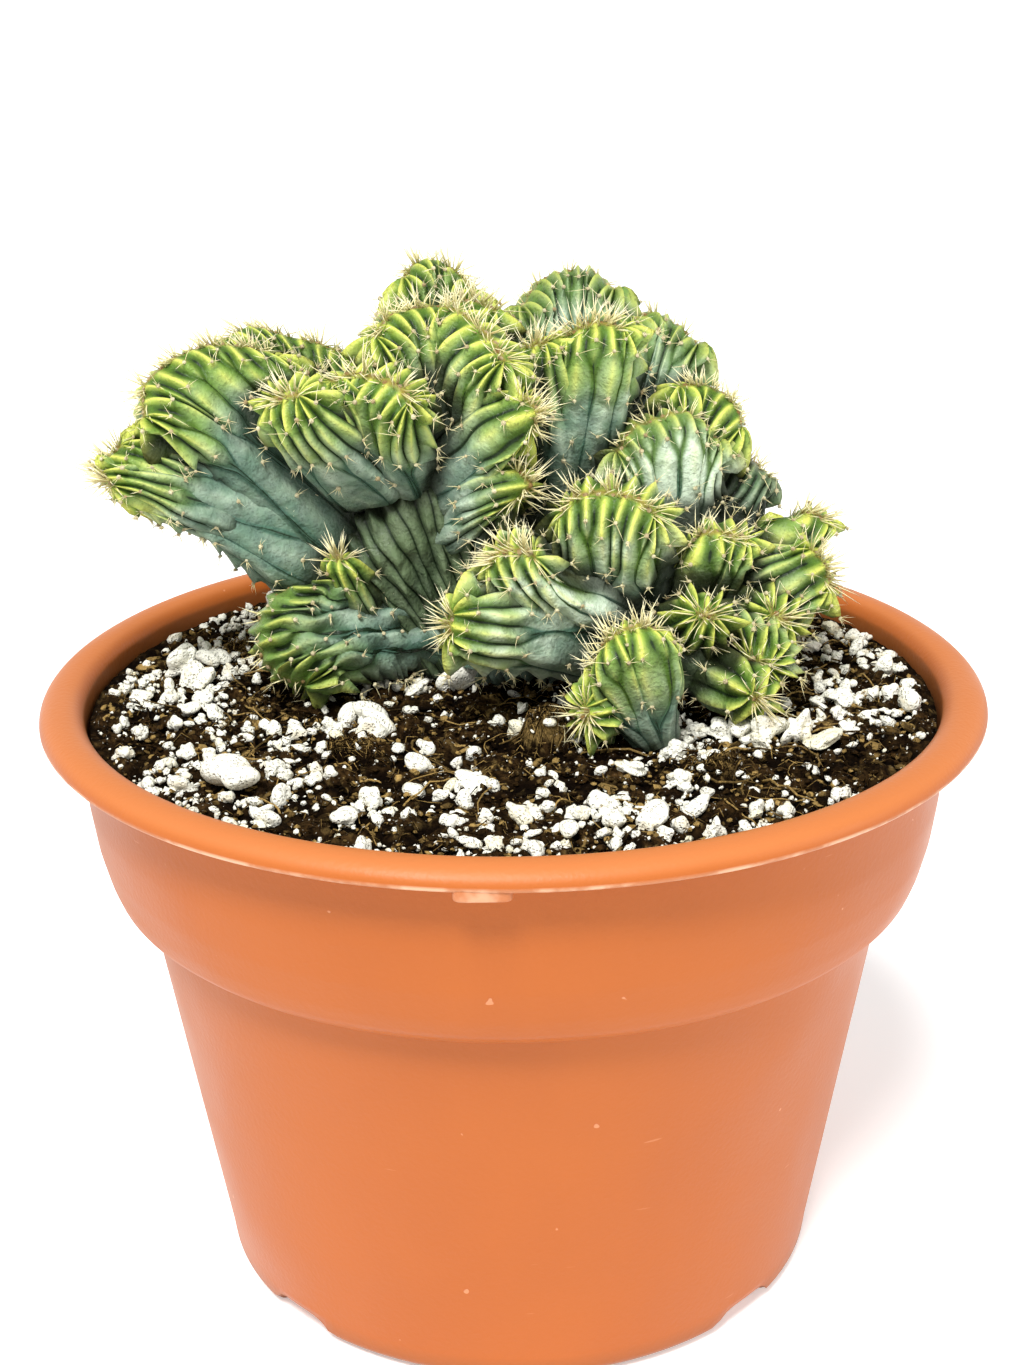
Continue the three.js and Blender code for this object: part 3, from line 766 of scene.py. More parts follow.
@dataclass
class Pot:
    """The plastic pot: foot ring with four notches, tapered body, collar band and rolled rim."""

    rim_radius: float = 105.0
    rim_lip: float = 0.5
    rim_low: float = 135.3
    rim_top: float = 139.8
    crest_radius: float = 99.5
    inner_radius: float = 95.2
    around: int = 216
    notch_width: float = 20.0
    notch_height: float = 5.6
    notch_angles: tuple[float, ...] = (-136.0, -43.0, 43.0, 136.0)
    drain_radius: float = 4.0
    drain_circle: float = 40.0
    drain_count: int = 6
    floor_low: float = 4.5
    floor_high: float = 6.5
    foot: tuple[float, float] = (58.0, 71.0)
    corner: float = 1.0
    tab: tuple[float, float, float, float] = (-11.6, -0.4, 104.4, 2.2)
    tab_root: float = 95.5
    tab_square: float = 0.28

    def rim(self) -> Array:
        """The rolled rim's profile: a quarter ellipse outwards from its crest and one inwards.

        Returns:
            [radius, height] pairs from the outside over the crest to the inside.
        """
        low, rise = self.rim_low + 0.6, self.rim_top - self.rim_low - 0.6
        out, back = np.linspace(0, math.pi / 2, 12), np.linspace(math.pi / 2, 0, 12)[1:]
        outer = np.stack([self.crest_radius + (self.rim_radius - self.crest_radius) * np.cos(out),
                          low + rise * np.sin(out)], axis=1)
        inner = np.stack([self.crest_radius - (self.crest_radius - self.inner_radius) * np.cos(back),
                          low + rise * np.sin(back)], axis=1)
        return np.concatenate([outer, inner])

    def profile(self) -> Array:
        """The whole wall's profile, closed from the underside of the floor round to its top.

        Returns:
            [radius, height] pairs.
        """
        circle, reach = self.drain_circle, self.drain_radius + 1.0
        across = np.linspace(circle - reach, circle + reach, 15)
        under = [[0, self.floor_low]] + [[r, self.floor_low] for r in across]
        outside = [[58.5, 4.5], [59.5, 0], [66.5, 0], [69.5, 2.6], [70.2, 8], [84.7, 95.1], [88.4, 95.1],
                   [89.2, 95.8], [91.2, 97.6], [92.7, 101.6], [94.4, 108.5], [95.7, 118], [96.9, 135.3]]
        lip = [[self.rim_radius - self.rim_lip, self.rim_low]]
        inside = [[94.9, 131], [92.7, 111], [89.2, 99.4], [87.2, 97.1],
                  [82.7, 97.1], [68.2, 9.4], [65.5, 6.5]]
        walls = filleted(np.array(under[-1:] + outside + lip, float), self.corner)
        inner = filleted(np.array([self.rim()[-1]] + inside + [[0, self.floor_high]], float), self.corner)
        return np.concatenate([np.array(under[:-1], float), walls, self.rim(), inner[1:]])

    def shell(self) -> Patch:
        """The pot's wall: the turned profile, with the floor pushed up in each drain hole and the foot
        lifted in each notch to an arch, height times the root of 1 - off to the fourth.

        Returns:
            The wall, with its values flash, grime (dirt and painted shade, darker near the soil and towards
            the ground) and lip (where a painted highlight lies on the rim's top).
        """
        profile = self.profile()
        points, index = turned(profile, self.around)
        x, y, z = points[..., 0], points[..., 1], points[..., 2]
        radius = np.hypot(x, y)
        for degrees in self.notch_angles:
            turn = math.radians(degrees)
            off = (x * -math.sin(turn) + y * math.cos(turn)) / (self.notch_width / 2)
            ahead = x * math.cos(turn) + y * math.sin(turn) > 0
            arch = self.notch_height * np.sqrt(np.clip(1 - off ** 4, 0, 1))
            low = ahead & (radius > self.foot[0]) & (radius < self.foot[1]) & (z < arch)
            z = np.where(low, arch, z)
        for k in range(self.drain_count):
            turn = 2 * math.pi * k / self.drain_count
            away = np.hypot(x - self.drain_circle * math.cos(turn), y - self.drain_circle * math.sin(turn))
            z = np.where((away < self.drain_radius) & (z < self.floor_low + 0.1), self.floor_high - 0.1, z)
        points = np.stack([x, y, z], axis=-1)
        flash = smooth(radius, 104.0, 104.9) * (1 - smooth(z, self.rim_low + 0.3, self.rim_low + 1.0))
        inner = (np.arange(len(profile)) > len(profile) - 42)[:, None] & (radius < 95.3)
        # The inner wall darkens towards the soil, dirt and painted shade together; the foot darkens towards
        # the ground.
        grime = np.maximum(np.where(inner, smooth(-z, -138.5, -133.5), 0.0), smooth(-z, -7.0, 0.0) * 0.7)
        # The rim's top, where the painted highlight lies.
        lip = smooth(z, self.rim_low + 1.0, self.rim_low + 3.5) * smooth(radius, 95.5, 98.0)
        caps = [fan(index[1], index[0, 0])[:, ::-1], fan(index[-2], index[-1, 0])]
        faces = [grid_faces(index[1:-1], True), *caps]
        values = {"flash": flash.ravel(), "grime": grime.ravel(), "lip": lip.ravel()}
        return compacted(Patch(points.reshape(-1, 3), faces, values))

    def moulded_tab(self) -> Patch:
        """The small tab under the front of the rim: a box with round corners, which is a ball whose
        coordinates are raised to a small power.

        Returns:
            The tab, with the wall's values.
        """
        left, right, out, height = self.tab
        form = ball(3)
        squared = np.sign(form.points) * np.abs(form.points) ** self.tab_square
        half = np.array([(right - left) / 2, (out - self.tab_root) / 2, height / 2 + 0.3])
        centre = np.array([(left + right) / 2, -(out + self.tab_root) / 2, self.rim_low - height / 2 + 0.3])
        points = squared * half + centre
        none = np.zeros(len(points))
        return Patch(points, form.faces, {"flash": none + 0.4, "grime": none, "lip": none})

    def build(self, material: Material) -> None:
        """Puts the pot into the scene in place of its plain node."""
        piece = put_mesh("pot_wall", Patch.joined([self.shell(), self.moulded_tab()]), material)
        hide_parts("pot")


def compacted(patch: Patch) -> Patch:
    """A patch without the points that no face uses.

    Args:
        patch: any patch.

    Returns:
        The smaller patch.
    """
    used = np.unique(np.concatenate([f.ravel() for f in patch.faces]))
    fresh = np.zeros(len(patch.points), int)
    fresh[used] = np.arange(len(used))
    values = {key: numbers[used] for key, numbers in patch.values.items()}
    return Patch(patch.points[used], [fresh[f] for f in patch.faces], values)


# ---- soil


# Places on the soil, each (x, y, spread, amount): hollows under the low heads and clods on the bed, by
# their depth or height, and drifts where grains lie thicker, or thinner where the amount is negative
HOLLOWS = ((-47, 2, 17, 2.6), (34, -12, 24, 1.9), (2, 2, 16, 0.8))
MOUNDS = ((7.0, -24.5, 5.0, 7.0), (42.5, -45, 6.5, 2.2), (-34, -31, 6.0, 1.5), (-62, 30, 8.0, 1.8),
          (62, 34, 8.0, 1.8))
DRIFTS = ((52, -24, 14, 1.3), (12, -62, 15, 0.8), (-57, -52, 13, 0.9), (4, -26, 15, -1.3),
          (-27, -17, 12, -1.1), (65, -46, 12, -1.2))
# The large grains that the photo shows, each (x, y, half size)
LARGE_GRAINS = (
    (-57, -53, 4.8), (-51.5, -54, 3.4), (-62.5, -51, 3.2), (-47, -57, 2.6), (-30, -22, 3.3), (45, -19, 2.9),
    (50, -22, 3.4), (55, -25, 3.1), (47, -25, 2.6), (60, -28, 3.3), (53, -31, 2.8), (65, -32, 2.6),
    (-32, -12, 2.8), (-73, -8, 2.7), (24, -44, 2.6), (-8, -50, 2.5), (-12.5, 10, 3.2), (-36, -8, 2.9),
    (-33.5, -9, 2.5), (-76, 16, 3.4), (-70, 22, 3.0), (-72, 10, 2.7),
)
# The other grains, by size: how often the ball is cut up, how many, least and greatest half size
GRAIN_GRADES = ((2, 200, 1.4, 2.5), (1, 1650, 0.7, 1.5), (0, 4800, 0.2, 0.75))


@dataclass(frozen=True)
class StoneKind:
    """How stones are shaped and how they lie: flat is the height over the width, rough is the depth of
    the dents, and sink is the least and greatest share of the half size that lies in the soil.
    """

    flat: float
    rough: float
    sink: tuple[float, float]


LARGE_GRAIN = StoneKind(0.9, 0.5, (0.0, 0.6))
SMALL_GRAIN = StoneKind(0.9, 0.36, (0.0, 0.6))
CRUMB = StoneKind(0.6, 0.45, (0.15, 0.15))
CHIP = StoneKind(0.35, 0.35, (0.3, 0.3))


@dataclass(frozen=True)
class ThreadKind:
    """Threads of one sort: least and greatest length and radius, points along and round each."""

    lengths: tuple[float, float]
    radii: tuple[float, float]
    rows: int
    sides: int


TWIG = ThreadKind((4, 20), (0.12, 0.36), 7, 4)
HAIR = ThreadKind((1.6, 5.5), (0.08, 0.19), 3, 3)
SHORT_HAIR = ThreadKind((1.6, 4.5), (0.08, 0.19), 3, 3)


@dataclass
class SoilBed:
    """Peat with perlite, from the pot's floor to just under its rim."""

    edge_height: float = 133.7
    middle_height: float = 132.6
    reach: float = 95.2
    around: int = 300
    rings: int = 96
    top_radius: float = 94.2
    groups: int = 420
    grouped: float = 0.76
    group_spread: float = 2.3
    overlap: float = 0.74
    crumb_count: int = 5000
    chip_count: int = 130
    twig_count: int = 240
    hair_count: int = 1500
    mound_hairs: int = 150
    seed: int = 11

    def height(self, x: Array, y: Array) -> Array:
        """Height of the soil: a dish that rises with the square of the radius, gentle waves, hollows
        under the low heads and clods, each of these falling off as exp(-(distance / spread) ** 4).

        Args:
            x: places across.
            y: and back.

        Returns:
            The heights.
        """
        share = np.hypot(x, y) / self.reach
        dish = self.middle_height + (self.edge_height - self.middle_height) * share ** 2
        waves = np.sin(x * 0.13 + 1.7) * np.cos(y * 0.11 - 0.6) + 0.6 * np.sin(x * 0.071 - y * 0.093)
        sunk = [d * np.exp(-(np.hypot(x - a, y - b) / r) ** 4) for a, b, r, d in HOLLOWS]
        return dish + 0.45 * waves * (1 - share ** 4) - np.max(sunk, axis=0) + self.raised(x, y)

    def raised(self, x: Array, y: Array) -> Array:
        """Height of the round clods that stand on the soil."""
        return np.max([h * np.exp(-(np.hypot(x - a, y - b) / r) ** 4) for a, b, r, h in MOUNDS], axis=0)

    def crumbs(self, x: Array, y: Array) -> Array:
        """Fine relief of the peat: value noise at four sizes, the two coarse ones folded into lumps.

        Args:
            x: places across.
            y: and back.

        Returns:
            How far the peat rises or sinks there.
        """
        coarse = np.abs(relief(x, y, 7.5, 1.0)) * 1.9 + np.abs(relief(x, y, 3.4, 2.0)) * 1.9
        fine = relief(x, y, 1.9, 3.0) * 0.9 + relief(x, y, 1.1, 4.0) * 0.6
        return coarse + fine - 1.5

    def bed(self) -> Patch:
        """The soil's body: plain sides and bottom, and a finely ringed crumbly top.

        Returns:
            The body, with its tone (paler in patches and on the clods) and deep (painted shade between
            crumbs, less on the clods).
        """
        sides = [[0, 6.85], [65.1, 6.85], [67.8, 9.75], [82.3, 97.4],
                 [86.5, 97.4], [91.8, 109], [94.2, 126], [94.3, 131.5]]
        radii = self.top_radius * np.linspace(1, 0, self.rings)
        top = np.stack([radii, np.full(self.rings, self.edge_height)], axis=1)
        profile = np.concatenate([np.array(sides, float), top])
        points, index = turned(profile, self.around)
        start = len(sides)
        x, y = points[start:, :, 0], points[start:, :, 1]
        rim = smooth(np.hypot(x, y), self.top_radius, self.top_radius - 4)
        crumbs = self.crumbs(x, y)
        points[start:, :, 2] = self.height(x, y) + crumbs * mix(0.35, 1.0, rim)
        clod = smooth(self.raised(x, y), 0.6, 2.4)
        deep, tone = np.zeros(points.shape[:2]), np.zeros(points.shape[:2])
        # Painted shade in the low places between crumbs, lighter on the clods.
        deep[start:] = (1 - smooth(crumbs, -0.7, 0.8)) * (1 - 0.75 * clod)
        tone[start:] = mix(0.52 * np.clip(relief(x, y, 9.0, 8.0) * 0.5 + 0.3, 0, 1), 0.8, clod)
        index[0], index[-1] = index[0, 0], index[-1, 0]
        faces = grid_faces(index, True)
        first, last = faces[: self.around][:, [0, 2, 3]], faces[-self.around:, :3]
        values = {"tone": tone.ravel(), "deep": deep.ravel()}
        middle = faces[self.around: -self.around]
        return compacted(Patch(points.reshape(-1, 3), [first, middle, last], values))

    def scattered(self, count: int, rng: Random, edge: float) -> tuple[Array, Array]:
        """Places spread evenly over the soil, out to the edge radius.

        Args:
            count: how many.
            rng: its random numbers.
            edge: the greatest radius.

        Returns:
            The places across and back.
        """
        radius = edge * np.sqrt(rng.uniform(0.0, 1.0, count))
        angle = rng.uniform(0.0, 2 * math.pi, count)
        return radius * np.cos(angle), radius * np.sin(angle)

    def gathered(self, count: int, rng: Random, edge: float) -> tuple[Array, Array]:
        """Places in small groups, and some on their own between them.

        Of the groups that chance spreads over the bed, more are kept where slow noise, the pot's wall,
        its two sides, its front and the drifts make the grains lie thick.

        Args:
            count: how many places to start with.
            rng: its random numbers.
            edge: the greatest radius.

        Returns:
            The places across and back; those past the edge are left out.
        """
        group = np.random.default_rng(self.seed + 7)
        at = np.stack(self.scattered(self.groups, group, self.top_radius - 2.0), axis=1)
        thick = 1.4 * relief(at[:, 0], at[:, 1], 17.0, 5.0)
        thick = thick + 0.4 * smooth(np.hypot(at[:, 0], at[:, 1]), 40, 85)
        thick = thick + 0.8 * smooth(np.abs(at[:, 0] + 4.0), 52, 74) + 0.5 * smooth(-at[:, 1], 46, 72)
        for x, y, spread, more in DRIFTS:
            thick = thick + more * np.exp(-(np.hypot(at[:, 0] - x, at[:, 1] - y) / spread) ** 2)
        at = at[thick > group.uniform(-0.4, 1.3, len(at))]
        near = at[rng.integers(0, len(at), count)] + rng.normal(0, self.group_spread, (count, 2))
        alone = np.stack(self.scattered(count, rng, edge), axis=1)
        place = np.where(rng.uniform(0, 1, (count, 1)) < self.grouped, near, alone)
        place = place[np.hypot(place[:, 0], place[:, 1]) < edge]
        return place[:, 0], place[:, 1]

    def stones(self, form: Patch, x: Array, y: Array, size: Array, kind: StoneKind,
               rng: Random) -> Patch:
        """Irregular stones on the soil: a ball stretched, turned and dented by four waves for each stone.

        Args:
            form: the ball that each one starts from.
            x: places across.
            y: places back.
            size: half sizes.
            kind: how they are shaped and lie.
            rng: its random numbers.

        Returns:
            All of them as one patch, with a tone for each and low, its share under the soil line.
        """
        n = len(x)
        sink = rng.uniform(*kind.sink, n) if kind.sink[0] < kind.sink[1] else kind.sink[0]
        ways = rng.normal(size=(n, 4, 3)) * np.array([1.4, 1.8, 2.6, 3.4])[:, None]
        waves = np.sin(np.einsum("vk,nwk->nvw", form.points, ways) + rng.uniform(0, 6.3, (n, 1, 4))).sum(-1)
        dented = form.points[None] * (1 + kind.rough * waves[..., None] * 0.5)
        stretch = rng.uniform(0.62, 1.2, (n, 1, 3)) * np.array([1.0, 1.0, kind.flat])
        turn = rng.uniform(0, 2 * math.pi, n)[:, None]
        shaped = dented * stretch * size[:, None, None]
        tipped = shaped[..., 2] + shaped[..., 0] * rng.uniform(-0.4, 0.4, (n, 1))
        px = shaped[..., 0] * np.cos(turn) - shaped[..., 1] * np.sin(turn) + x[:, None]
        py = shaped[..., 0] * np.sin(turn) + shaped[..., 1] * np.cos(turn) + y[:, None]
        ground = self.height(x, y) + self.crumbs(x, y) * 0.5
        pz = tipped + (ground + size * (kind.flat - sink))[:, None]
        points = np.stack([px, py, pz], axis=-1).reshape(-1, 3)
        faces = (form.faces[0][None] + (np.arange(n) * len(form.points))[:, None, None]).reshape(-1, 3)
        tone = np.repeat(rng.uniform(0, 1, n), len(form.points))
        low = np.clip((ground[:, None] + 0.5 - pz) / 1.5, 0, 1).ravel()
        return Patch(points, [faces], {"tone": tone, "low": low})

    def apart(self, x: Array, y: Array, half: Array) -> Array:
        """True for grains that no larger one covers by much: the gap between the middles is over a share
        of the sum of the half sizes. The pairs are compared in a few parts, to save memory.

        Args:
            x: places across.
            y: places back.
            half: half sizes.

        Returns:
            One truth a grain.
        """
        clear = np.ones(len(x), bool)
        for part in np.array_split(np.arange(len(x)), 12):
            gap = np.hypot(x[part, None] - x, y[part, None] - y)
            close = gap < self.overlap * (half[part, None] + half)
            clear[part] = ~np.any(close & (half[part, None] < half), axis=1)
        return clear

    def perlite(self) -> Patch:
        """White grains: the large ones that the photo shows, and three grades in groups, without those
        that larger ones cover.

        Returns:
            All grains as one patch.
        """
        rng = np.random.default_rng(self.seed)
        large = np.array(LARGE_GRAINS)
        grades = [(LARGE_GRAIN, ball(3), large[:, 0], large[:, 1], large[:, 2])]
        for steps, count, low, high in GRAIN_GRADES:
            x, y = self.gathered(count, rng, self.top_radius - high - 0.8)
            grades.append((SMALL_GRAIN, ball(steps), x, y, rng.uniform(low, high, len(x))))
        clear = self.apart(*(np.concatenate([grade[k] for grade in grades]) for k in (2, 3, 4)))
        found = []
        for kind, form, x, y, half in grades:
            keep, clear = clear[: len(x)], clear[len(x):]
            found.append(self.stones(form, x[keep], y[keep], half[keep], kind, rng))
        return Patch.joined(found)

    def bits(self) -> Patch:
        """Brown crumbs and bark chips.

        Returns:
            All of them as one patch.
        """
        rng = np.random.default_rng(self.seed + 1)
        x, y = self.scattered(self.crumb_count, rng, self.top_radius - 2.0)
        small = self.stones(ball(0), x, y, rng.uniform(0.3, 1.1, len(x)), CRUMB, rng)
        x, y = self.scattered(self.chip_count, rng, self.top_radius - 4.0)
        chips = self.stones(ball(1), x, y, rng.uniform(1.2, 2.4, len(x)), CHIP, rng)
        return Patch.joined([small, chips])

    def fibres(self) -> Patch:
        """Thin bent twigs and roots lying on the soil, and short hairs of peat, thickest on the clods.

        Returns:
            All of them as one patch.
        """
        rng = np.random.default_rng(self.seed + 2)
        twigs = self.laid(*self.scattered(self.twig_count, rng, self.top_radius - 12), TWIG, rng)
        hairs = [self.laid(*self.scattered(self.hair_count, rng, self.top_radius - 5), HAIR, rng)]
        for x, y, spread, _ in MOUNDS:
            place = rng.normal(0, spread * 0.55, (2, self.mound_hairs)) + np.array([[x], [y]])
            hairs.append(self.laid(place[0], place[1], SHORT_HAIR, rng))
        return Patch.joined([twigs, *hairs])

    def laid(self, x: Array, y: Array, kind: ThreadKind, rng: Random) -> Patch:
        """Thin round threads lying on the soil along random arcs, a little arched and tilted.

        Args:
            x: places across.
            y: places back.
            kind: their sizes.
            rng: its random numbers.

        Returns:
            All of them as one patch, with a tone for each.
        """
        n = len(x)
        length, bend = rng.uniform(*kind.lengths, n), rng.uniform(-1.4, 1.4, n)
        radius, way = rng.uniform(*kind.radii, n), rng.uniform(0, 2 * math.pi, n)
        t = np.linspace(-0.5, 0.5, kind.rows)[None]
        angle = way[:, None] + bend[:, None] * t
        px = x[:, None] + length[:, None] * t * np.cos(angle)
        py = y[:, None] + length[:, None] * t * np.sin(angle)
        lift = rng.uniform(0.3, 1.5, (n, 1)) * (1 - (2 * t) ** 2) + rng.uniform(-1.2, 1.2, (n, 1)) * t + 0.5
        inside = np.minimum(1.0, (self.top_radius - 1.2) / np.hypot(px, py))
        px, py = px * inside, py * inside
        path = np.stack([px, py, self.height(px, py) + self.crumbs(px, py) * 0.4 + lift], axis=-1)
        tube = tubes(path, radius[:, None] * np.linspace(1.0, 0.55, kind.rows)[None], kind.sides)
        tone = np.repeat(rng.uniform(0.25, 1.0, n), kind.rows * kind.sides)
        tube.values = {"tone": tone, "low": np.zeros(len(tube.points))}
        return tube

    def build(self, peat: Material, white: Material) -> None:
        """Puts the soil and what lies on it into the scene in place of the plain node.

        Args:
            peat: finish of the bed and its crumbs.
            white: finish of the grains.
        """
        piece = put_mesh("soil_bed", self.bed(), peat)
        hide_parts("soil")
        put_mesh("perlite_grains", self.perlite(), white)
        put_mesh("peat_bits", self.bits(), peat)
        put_mesh("peat_fibres", self.fibres(), peat)


def tubes(path: Array, radius: Array, sides: int) -> Patch:
    """Tubes along many paths at once: a ring of points square to each path at each of its points.

    Args:
        path: (tubes, rows, 3) middle points.
        radius: (tubes, rows) radii.
        sides: how many points a ring has.

    Returns:
        The tubes, closed at both ends.
    """
    n, rows = radius.shape
    way = unit(np.gradient(path, axis=1))
    side = unit(np.cross(way, np.array([0.31, 0.53, 0.79])))
    up = np.cross(way, side)
    angle = np.arange(sides) * (2 * math.pi / sides)
    ring = side[:, :, None] * np.cos(angle)[:, None] + up[:, :, None] * np.sin(angle)[:, None]
    points = path[:, :, None] + ring * radius[:, :, None, None]
    index = np.arange(n * rows * sides).reshape(n, rows, sides)
    nxt = np.roll(index, -1, axis=2)
    faces = np.stack([index[:, :-1], nxt[:, :-1], nxt[:, 1:], index[:, 1:]], axis=-1).reshape(-1, 4)
    return Patch(points.reshape(-1, 3), [faces, index[:, 0, ::-1], index[:, -1]])


# ---- cactus


@dataclass(frozen=True)
class Head:
    """One head: where it leaves the plant and how wide and deep it is there, half its depth at the top,
    and the points of its growing line.

    Of the rest, end is how far it is rounded past the line's ends, pitch the width of a rib, youth how
    green and wax how pale it is, from its bloom and a painted highlight on its ridges, dry how shrivelled,
    bark how corky, spiny how many needles it bears and knobby how gnarled its ribs are.
    """

    name: str
    region: Region
    root: Triple
    root_size: tuple[float, float]
    thick: float
    line: tuple[Triple, ...]
    end: float = 0.0
    pitch: float = 3.3
    youth: float = 1.0
    wax: float = 0.45
    dry: float = 0.0
    bark: float = 0.0
    spiny: float = 1.0
    knobby: float = 0.0


